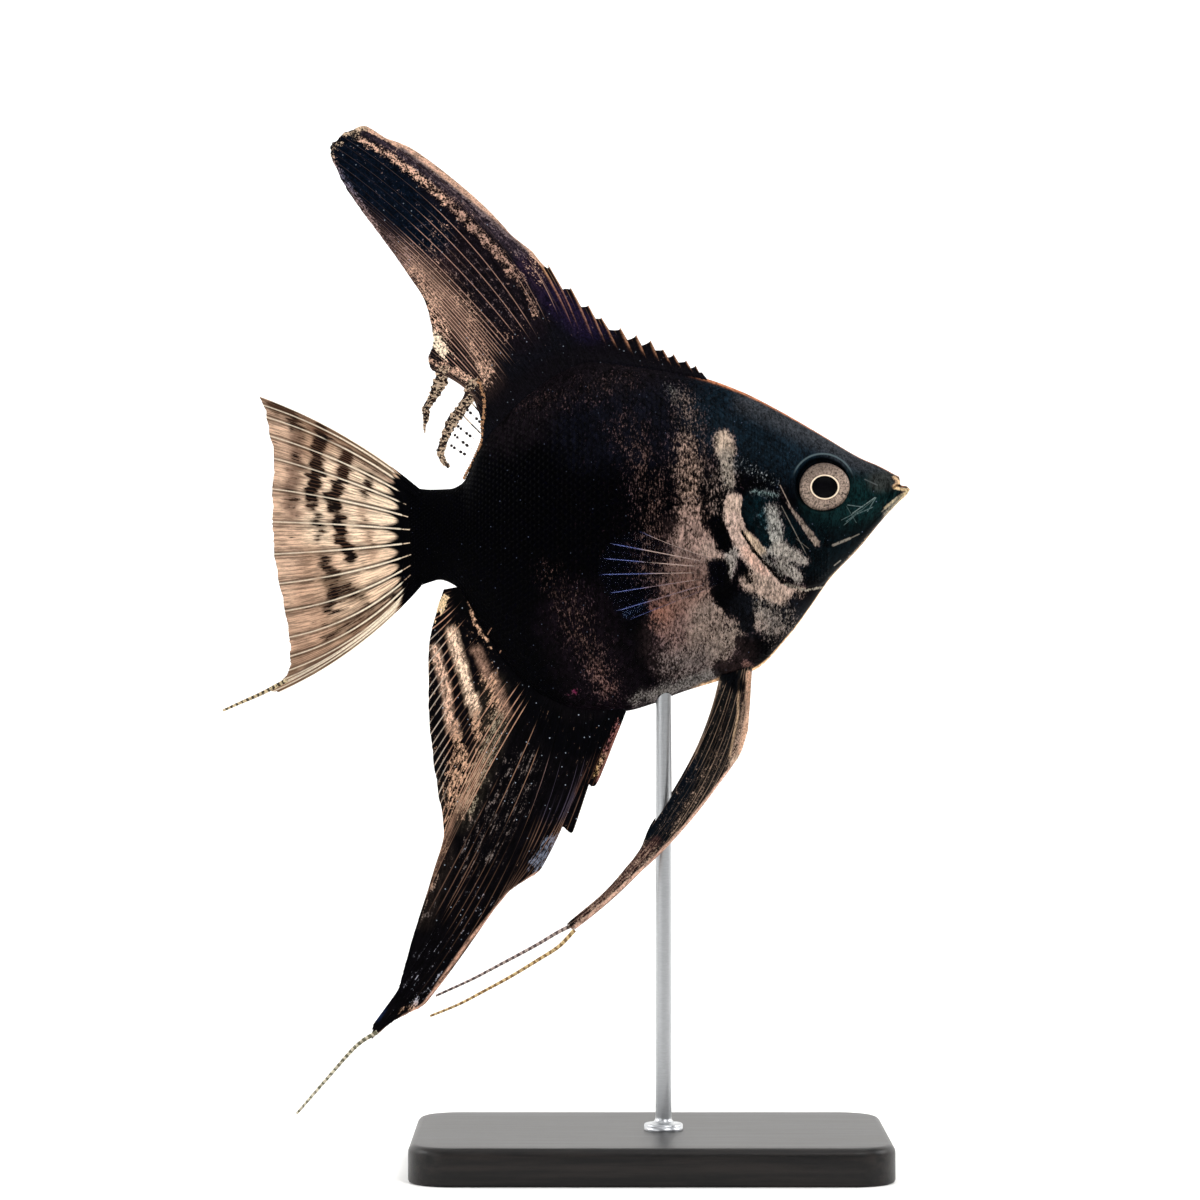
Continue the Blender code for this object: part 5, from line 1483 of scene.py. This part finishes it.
# Rays from top to bottom: z of the root, x and z of the tip, and bow
CAUDAL = [(109.2, -49.1, 123.3, -0.043), (108.2, -48.3, 121, -0.05),
          (106.9, -47.6, 117.6, -0.035), (105.4, -46.8, 113.4, -0.02),
          (103.2, -47.2, 107, -0.02), (101.1, -47.1, 101.1, 0), (98.9, -46.4, 95.5, 0.018),
          (96.8, -45.2, 89.6, 0.05), (95, -44.4, 84, 0.075), (93.8, -44.3, 80.2, 0.072),
          (93.1, -45.6, 77.8, 0.062), (92.5, -47.6, 76.2, 0.052), (91.7, -46, 75.9, 0.052)]
CAUDAL_ROOT_X = -24.25
REAR_BAR = [(-42.9, 116.8), (-43, 113.6), (-43.8, 109.4), (-43.8, 105)]
FRONT_BAR = [(-32.6, 105.6), (-32.4, 103), (-31.4, 100.6), (-30.8, 97.8)]
LOW_BAR = [(-37.2, 93.6), (-35, 92.4), (-33, 91.6)]
CAUDAL_WEB = [
    ([(-27, 104), (-36, 106)], 3, 6, 4, 0.9, (230, 204, 176)),
    ([(-27, 97), (-35, 94)], 3, 4, 4, 0.8, (218, 188, 160)),
    ([(-47, 119), (-46.4, 108), (-46.4, 98), (-44.6, 86)], 2.2, 3.2, 3.4, 0.85, (194, 162, 138)),
    ([(-39.2, 117.6), (-39.9, 111.2), (-40.6, 106)], 0.5, 0.5, 1.5, 0.6, (140, 104, 84)),
    ([(-35.2, 113.2), (-37.2, 107), (-36.3, 101.6), (-34.6, 98)], 0.5, 0.5, 1.5, 0.6,
     (140, 104, 84)),
    ([(-39.6, 96), (-41.5, 84)], 1.8, 2, 3, 0.7, (172, 138, 114)),
    (REAR_BAR, 0.4, 0.6, 1.6, 0.6, (126, 96, 80)),
    (FRONT_BAR, 0.2, 0.3, 1.2, 0.5, (158, 120, 96)),
    (LOW_BAR, 0.9, 0.6, 1.8, 0.6, (106, 84, 62)),
    ([(-36.5, 82.6), (-42, 78.6)], 0.5, 0.5, 0.8, 0.7, (110, 92, 78)),
    ([(-41.5, 83.5), (-43.5, 79.4)], 0.5, 0.6, 1.2, 0.5, (120, 94, 76)),
    ([(-26.4, 108.6), (-33.6, 113.8), (-41, 118.6)], 0.2, 0.2, 0.3, 0.6, (104, 72, 60)),
]
# Dark bars of the tail: how dense their streaks are
CAUDAL_BARS = [
    ([(-44.5, 116), (-44.5, 86)], 2, 2, 5, 0.16),
    ([(-48, 121.6), (-38, 116.6), (-30, 111)], 0.8, 0.6, 1.6, 0.34),
    ([(-44, 79), (-30, 88.6)], 1, 0.6, 1.8, 0.26),
    ([(-36, 93), (-38, 88)], 1, 1.4, 2.5, 0.3),
    ([(-47, 122), (-43.8, 120.6), (-43.4, 118.6), (-42.9, 117.2)], 0.1, 0.2, 1.3, 0.8),
    (REAR_BAR, 0.1, 0.2, 1.9, 0.46),
    ([(-38.9, 119.2), (-39.2, 117.6), (-39.4, 115.6)], 0.3, 0.3, 1.3, 0.9),
    ([(-39.6, 115.6), (-39.8, 113.2), (-39.9, 111.2)], 0.3, 0.5, 1.3, 0.86),
    ([(-40.2, 110.6), (-40.5, 108.6), (-40.7, 106.6)], 0.5, 0.3, 1.3, 0.86),
    ([(-40.6, 106.2), (-39.8, 103.6), (-39.3, 100.6)], 0, 0, 1.6, 0.64),
    ([(-35, 114), (-35.3, 112.4), (-35.6, 110.8)], 0.2, 0.4, 1.3, 0.86),
    ([(-36.2, 109.6), (-36.9, 108), (-37.5, 107)], 0.4, 0.5, 1.3, 0.86),
    ([(-37, 105.8), (-36.5, 103.8), (-36.3, 101.6)], 0.5, 0.2, 1.3, 0.88),
    ([(-36, 100.8), (-35, 99), (-34.3, 97.4)], 0.3, 0.3, 1.3, 0.86),
    ([(-31.2, 110.2), (-31.6, 108.8), (-32.2, 107.6)], 0, 0, 1.7, 0.72),
    (FRONT_BAR, 0, 0, 1.4, 0.34),
    ([(-38.9, 97.2), (-37.6, 95)], 0, 0.2, 1.9, 0.7),
    (LOW_BAR, 0.3, 0.1, 1.9, 0.56),
    ([(-37, 92), (-37.9, 89.2)], 0.2, 0, 1.5, 0.74),
    ([(-31.4, 89.8), (-38.4, 84.4)], 0, 0.1, 1.2, 0.6),
    ([(-28.2, 91.6), (-34.4, 85.8)], 0, 0, 1.1, 0.56),
    ([(-25.2, 92.6), (-27.4, 91)], 0.2, 0.2, 0.8, 0.85),
]
CAUDAL_SPACING = [(0, 0), (1, 1.6), (3, 4), (4, 5.3), (6, 7.5), (8, 10.2), (10, 13), (12, 17)]
caudal_roots = [(CAUDAL_ROOT_X, ray[0]) for ray in CAUDAL]
points, faces, flat = fin_sheet(caudal_roots, CAUDAL, CAUDAL_SPACING, per_ray=16, rows=100,
                                sunk=1.6, web=(0.24, 0.09), ray=(0.4, 0.14), ragged=0.014,
                                seed=23)
x, z, share = flat["x"], flat["z"], flat["share"]
from_mid = np.abs(flat["number"] - np.floor(flat["number"]) - 0.5) * 2
finger = 2.5 + 2.8 * from_mid ** 2.2 + 1.3 * soft(np.abs(z - 108.6), 0.4, 1.8)
black_root = soft(flat["length"], finger, 0.9)
rear_edge = soft(-share, -0.994, 0.005) * (np.sin(flat["number"] * 25) > 0.1)
top_rim = soft(flat["number"], 0.14, 0.12)
low_rim = soft(-flat["number"], -16.5, 0.3)
mark_x, mark_z = slipped(flat, 5, 0.5, (1.0, 0.0), 3)
caudal_web = paint(mark_x, mark_z, (178, 146, 120), CAUDAL_WEB)
# painted light and shade: each panel of web is lighter in its middle and darker next to its rays, as
# on a bulging web
caudal_web = caudal_web * (1.15 - 0.5 * from_mid ** 2 * soft(x, -26, 18))[:, None]
for share_of, tone in ((0.8 * top_rim, (160, 116, 100)), (0.7 * low_rim, (116, 94, 78)),
                       (black_root, (1, 1, 3)), (0.7 * rear_edge, (30, 26, 24))):
    caudal_web = mix_in(caudal_web, share_of, tone)
caudal_looks = {
    "web": caudal_web,
    "fleck": paint(x, z, (14, 9, 8), []),
    "cover": amounts(mark_x, mark_z, 0.05, CAUDAL_BARS) * (1 - black_root),
    "ray": paint(x, z, (255, 238, 212), []),
    "show": (1 - 0.35 * soft(-share, -0.75, 0.4)) * past_start(
        flat, [(0, 3.4), (3, 2.6), (5, 1.0), (9, 1.0), (12, 2.0), (17, 3.0)], 0.8, 0.8, 4),
}
dress_fin("caudal_fin_rayed", points, faces, flat, caudal_looks,
          ray_finish("tail_web", 0.115, (7, 0.16, 0.5, 0.72), (92, 64, 48), shade=0.8,
                     strands=9.0, run=4.5, grit=0.12, hair=0.5, bold=0.5),
          "caudal_fin", "caudal_fin")

thread("tail_thread", "caudal_fin", [(-44.6, 77.9), (-48.4, 75.9), (-52.0, 74.3), (-54.9, 73.0)],
       50, 0, (0.38, 0.2), (0.28, 0.14),
       banded("tail_thread_joints", (222, 200, 160), (52, 44, 34), 0.9, (0.9, 0.4), 0.6))

# ------------------------------------------------------------------ pelvic fins
# A pair of long feelers under the breast: a stout spine and a few rays in a narrow web, which
# taper back to one banded thread each.

# Rays from front to rear, as the dorsal's
PELVIC = [(29.7, 29, 70, 0), (29.6, 27.8, 66.2, 0), (29.45, 26.5, 64.2, 0.02),
          (29.2, 23.4, 60, 0.05),
          (28.9, 19.4, 55, 0.075), (28.6, 14.7, 50, 0.09), (28.3, 9.1, 45, 0.095),
          (28.1, 4.6, 41, 0.095), (27.8, 0.6, 37.8, 0.095), (27.2, -0.2, 38.3, 0.095),
          (27, 5.3, 43, 0.085), (26.8, 9, 47, 0.07), (26.4, 11.4, 50, 0.055),
          (25.9, 13.5, 54.4, 0.035), (25, 17.4, 60, 0.03), (24.4, 20, 65, 0.035)]
PELVIC_THREAD = {"right": [(1.4, 38.2), (-1.1, 35.6), (-4.5, 33.4), (-8.6, 30.9), (-12.8, 28.6),
                           (-17, 26.4), (-21.6, 24.5)],
                 "left": [(1.0, 38.4), (-1.4, 37.2), (-5.3, 34.9), (-11.1, 31.8), (-15.3, 29.6),
                          (-21, 27)]}
THREAD_TONES = {"right": ((236, 204, 148), (116, 88, 56)),
                "left": ((206, 186, 176), (84, 70, 70))}
SPLAY_ROOT = 1.0          # how far out from the plane of symmetry the fin starts,
SPLAY_TIP = 4.0           # and where it runs, from the middle of its length on


def splay(r):
    """Distance of a pelvic fin from the plane of symmetry at a share of its length."""
    return SPLAY_ROOT + (SPLAY_TIP - SPLAY_ROOT) * np.minimum(1, 2 * r)


BLACK_CORNER = [(26.2, 78.6), (27.4, 77)]
PELVIC_WEB = [
    ([(29.2, 79), (29, 72), (27.7, 66.4)], 0.3, 0.3, 0.35, 0.95, (204, 164, 138)),
    ([(28.3, 78.6), (28.2, 72), (26.9, 66.4)], 0.1, 0.1, 0.3, 0.9, (34, 24, 22)),
    ([(27.6, 78), (27.4, 72), (26.1, 66)], 0.05, 0.05, 0.22, 0.8, (196, 164, 132)),
    ([(25.9, 77), (25.2, 70), (23.2, 64)], 0.3, 0.3, 0.5, 0.8, (14, 13, 14)),
    ([(27.4, 65.6), (26.6, 64.9)], 0.3, 0.3, 0.4, 0.9, (214, 186, 160)),
    ([(26.8, 64.8), (23.4, 60.2), (19.4, 55.2), (14.7, 50.2), (9.1, 45.2), (4.6, 41.2),
      (0.6, 38)], 0.1, 0.15, 0.3, 0.95, (206, 166, 146)),
    ([(20.4, 64.4), (17.6, 59), (14.6, 53.6)], 1.1, 1.3, 1, 0.97, (4, 10, 17)),
    ([(24.8, 74), (22.4, 67)], 0.4, 0.8, 1, 0.8, (10, 11, 12)),
    ([(14.4, 52.4), (8.3, 46), (2, 39.8)], 0.3, 0.2, 0.8, 0.8, (58, 38, 36)),
    ([(24.4, 77.6), (22.4, 71.6), (20.6, 66.4)], 0.15, 0.1, 0.4, 0.8, (132, 112, 96)),
    (BLACK_CORNER, 0.9, 0.7, 0.9, 0.97, (3, 4, 7)),
]
pelvic_roots = body_edge(BELLY, np.array([ray[0] for ray in PELVIC]))
pelvic_material = ray_finish("pelvic_web", 0.065, (2, 0.1, 0.3, 0.3), run=26.0, grit=0.5)
for label, side in SIDES:
    points, faces, flat = fin_sheet(pelvic_roots, PELVIC, [(0, 0), (15, 8)], per_ray=11, rows=110,
                                    sunk=1.0, web=(0.3, 0.14), ray=(0.4, 0.16), ragged=0.02,
                                    side=lambda x, z, r: side * splay(r), seed=31)
    x, z, share = flat["x"], flat["z"], flat["share"]
    looks = {
        "web": paint(x, z, (20, 20, 20), PELVIC_WEB),
        "fleck": paint(x, z, (160, 134, 116), []),
        "cover": amounts(x, z, 0.09, [([(14, 51), (0, 38)], 0.4, 0.4, 1.5, 0.34),
                                      ([(28.6, 74), (26.4, 64)], 0.1, 0.2, 1, 0.5),
                                      ([(24.6, 66.4), (21.4, 60.4), (16.4, 54)], 0.2, 0.3, 1.4,
                                       0.26),
                                      ([(20, 63.4), (14.4, 53.6)], 1, 1, 0.8, 0.12),
                                      (BLACK_CORNER, 0.9, 0.7, 0.9, 0)]),
        "ray": paint(x, z, (186, 156, 134), [([(13, 50), (0, 38)], 2.0, 2.0, 2.0, 0.8,
                                               (146, 104, 92))]),
        "show": amounts(x, z, 0.55, [([(19.6, 62.4), (14.4, 53)], 1.1, 1.0, 1.0, 0.15),
                                    (BLACK_CORNER, 0.9, 0.6, 0.9, 0)]),
    }
    dress_fin("pelvic_fin_" + label + "_rayed", points, faces, flat, looks, pelvic_material,
              "pelvic_fin", "pelvic_fin_" + label)
    thread("pelvic_thread_" + label, "pelvic_fin", PELVIC_THREAD[label], 90, side * SPLAY_TIP,
           (0.34, 0.2), (0.26, 0.15),
           banded("pelvic_thread_joints_" + label, *THREAD_TONES[label], 1.0, (0.85, 0.5), 0.7))

# ------------------------------------------------------------------ pectoral fins
# A clear fan behind each gill opening: fine branched rays in a web thin enough to see through,
# laid back along the flank.

# Rays from top to bottom, as the tail's
PECTORAL = [(96.9, 11.2, 101.8, 0.02), (96.3, 6.7, 99.7, 0), (95.7, 5.4, 97.3, 0),
            (95.1, 4.8, 94.7, 0), (94.5, 6.4, 91.7, 0), (93.9, 7.5, 88.8, 0),
            (93.3, 9.6, 87.4, 0)]
PECTORAL_ROOT_X = 24.6
PECTORAL_OFF = 0.25       # how far its root stands off the skin
PECTORAL_LEAN = 0.14      # how far out it leans for each millimetre to the rear
pectoral_roots = [(PECTORAL_ROOT_X, ray[0]) for ray in PECTORAL]
pectoral_material = ray_finish("pectoral_web", 0.08, (2, 0.3, 0.7, 0.1), clear=(0.12, 0.7),
                               rough=0.35, run=24.0, grit=0.6)
pectoral_y = float(side_y(np.array([PECTORAL_ROOT_X]), np.array([95.0]))[0]) + PECTORAL_OFF
for label, side in SIDES:
    points, faces, flat = fin_sheet(
        pectoral_roots, PECTORAL, [(0, 0), (6, 6)], per_ray=16, rows=80, sunk=0.4, web=(0.16, 0.05),
        ray=(0.22, 0.08), ragged=0.03,
        side=lambda x, z, r: side * (pectoral_y + PECTORAL_LEAN * (PECTORAL_ROOT_X - x)), seed=41)
    x, z, share = flat["x"], flat["z"], flat["share"]
    looks = {
        "web": paint(x, z, (12, 14, 26), [([(9.6, 88.4), (12.6, 90.4)], 0.2, 0.2, 0.7, 0.9,
                                           (26, 40, 66))]),
        "fleck": paint(x, z, (56, 60, 76), [([(9, 89), (13, 91)], 1.0, 1.0, 1.0, 1.0,
                                             (58, 72, 98))]),
        "cover": amounts(x, z, 0.0, [([(9.4, 88.4), (12.6, 90.4)], 0.1, 0.1, 0.9, 0.4)]),
        "ray": paint(x, z, (84, 94, 146), [([(16, 98), (24, 95.5)], 2.6, 1.8, 2.6, 0.9,
                                              (200, 172, 156)),
                                             ([(15, 92), (24, 94)], 1.6, 1.2, 2, 0.8,
                                              (150, 122, 112))]),
        "show": amounts(x, z, 1.0, [([(25, 95.4), (22.6, 95)], 2.0, 1.4, 1.6, 0.08)])
                * soft(share, 0.92, 0.08),
    }
    dress_fin("pectoral_fin_" + label + "_rayed", points, faces, flat, looks, pectoral_material,
              "pectoral_fin", "pectoral_fin_" + label)

# ------------------------------------------------------------------ studio
# A pale sweep of paper for floor and backdrop, wide soft lights, and the camera square to the side.
FLOOR_HALF = 1600.0
WALL_Y = 620.0
SWEEP_R = 300.0

bend = np.linspace(0, np.pi / 2, 24)
sweep_y = np.concatenate([[-2600.0, -400.0, 0.0], WALL_Y - SWEEP_R + SWEEP_R * np.sin(bend), [WALL_Y]])
sweep_z = np.concatenate([[0.0, 0.0, 0.0], SWEEP_R - SWEEP_R * np.cos(bend), [1900.0]])
sweep_x = np.array([-FLOOR_HALF, FLOOR_HALF])
sweep = np.stack(np.broadcast_arrays(sweep_x[None, :], sweep_y[:, None], sweep_z[:, None]),
                 axis=-1).reshape(-1, 3)
paper = Finish("studio_paper")
paper_material = paper.surface({
    "Base Color": paper.mix(paper.noise(paper.place(0.02)), colour(243, 242, 240),
                            colour(247, 246, 244)),
    "Roughness": 0.9,
    "Specular IOR Level": 0.1,
})
backdrop = mesh_piece("studio_sweep", sweep, [grid_faces(len(sweep_y), 2)], paper_material)


def soft_light(name, place, aim, size, power):
    """Square softbox at place, turned to aim; millimetres and watts."""
    lamp = bpy.data.lights.new(name, "AREA")
    lamp.shape = "SQUARE"
    lamp.size = size * MM
    lamp.energy = power
    obj = bpy.data.objects.new(name, lamp)
    obj.location = Vector(place) * MM
    obj.rotation_mode = "QUATERNION"
    obj.rotation_quaternion = (Vector(aim) - Vector(place)).to_track_quat("-Z", "Y")
    bpy.context.scene.collection.objects.link(obj)


soft_light("key", (420, -760, 820), (5, 0, 95), 520, 6.2)
soft_light("fill", (-720, -620, 420), (0, 0, 95), 620, 2.6)
soft_light("top", (0, 60, 1000), (0, 60, 0), 900, 4.6)
soft_light("wall_left", (-900, 120, 500), (-100, 620, 150), 500, 7.0)
soft_light("wall_right", (900, 120, 500), (100, 620, 150), 500, 7.0)

world = bpy.data.worlds.new("studio_air")
world.use_nodes = True
air = world.node_tree.nodes["Background"].inputs
air["Color"].default_value = colour(240, 243, 248)
air["Strength"].default_value = 0.22
bpy.context.scene.world = world
bpy.context.scene.view_settings.view_transform = "Standard"

VIEW_WIDE = 192.0         # width of the view at the plane of symmetry
SENSOR = 36.0
camera_data = bpy.data.cameras.new("camera")
camera_data.sensor_width = SENSOR
camera_data.lens = SENSOR * VIEW_BACK / VIEW_WIDE
camera_data.clip_start = 0.05
camera_data.clip_end = 20.0
camera = bpy.data.objects.new("camera", camera_data)
camera.location = (VIEW_X * MM, -VIEW_BACK * MM, VIEW_Z * MM)
camera.rotation_euler = (np.pi / 2, 0, 0)
bpy.context.scene.collection.objects.link(camera)
bpy.context.scene.camera = camera
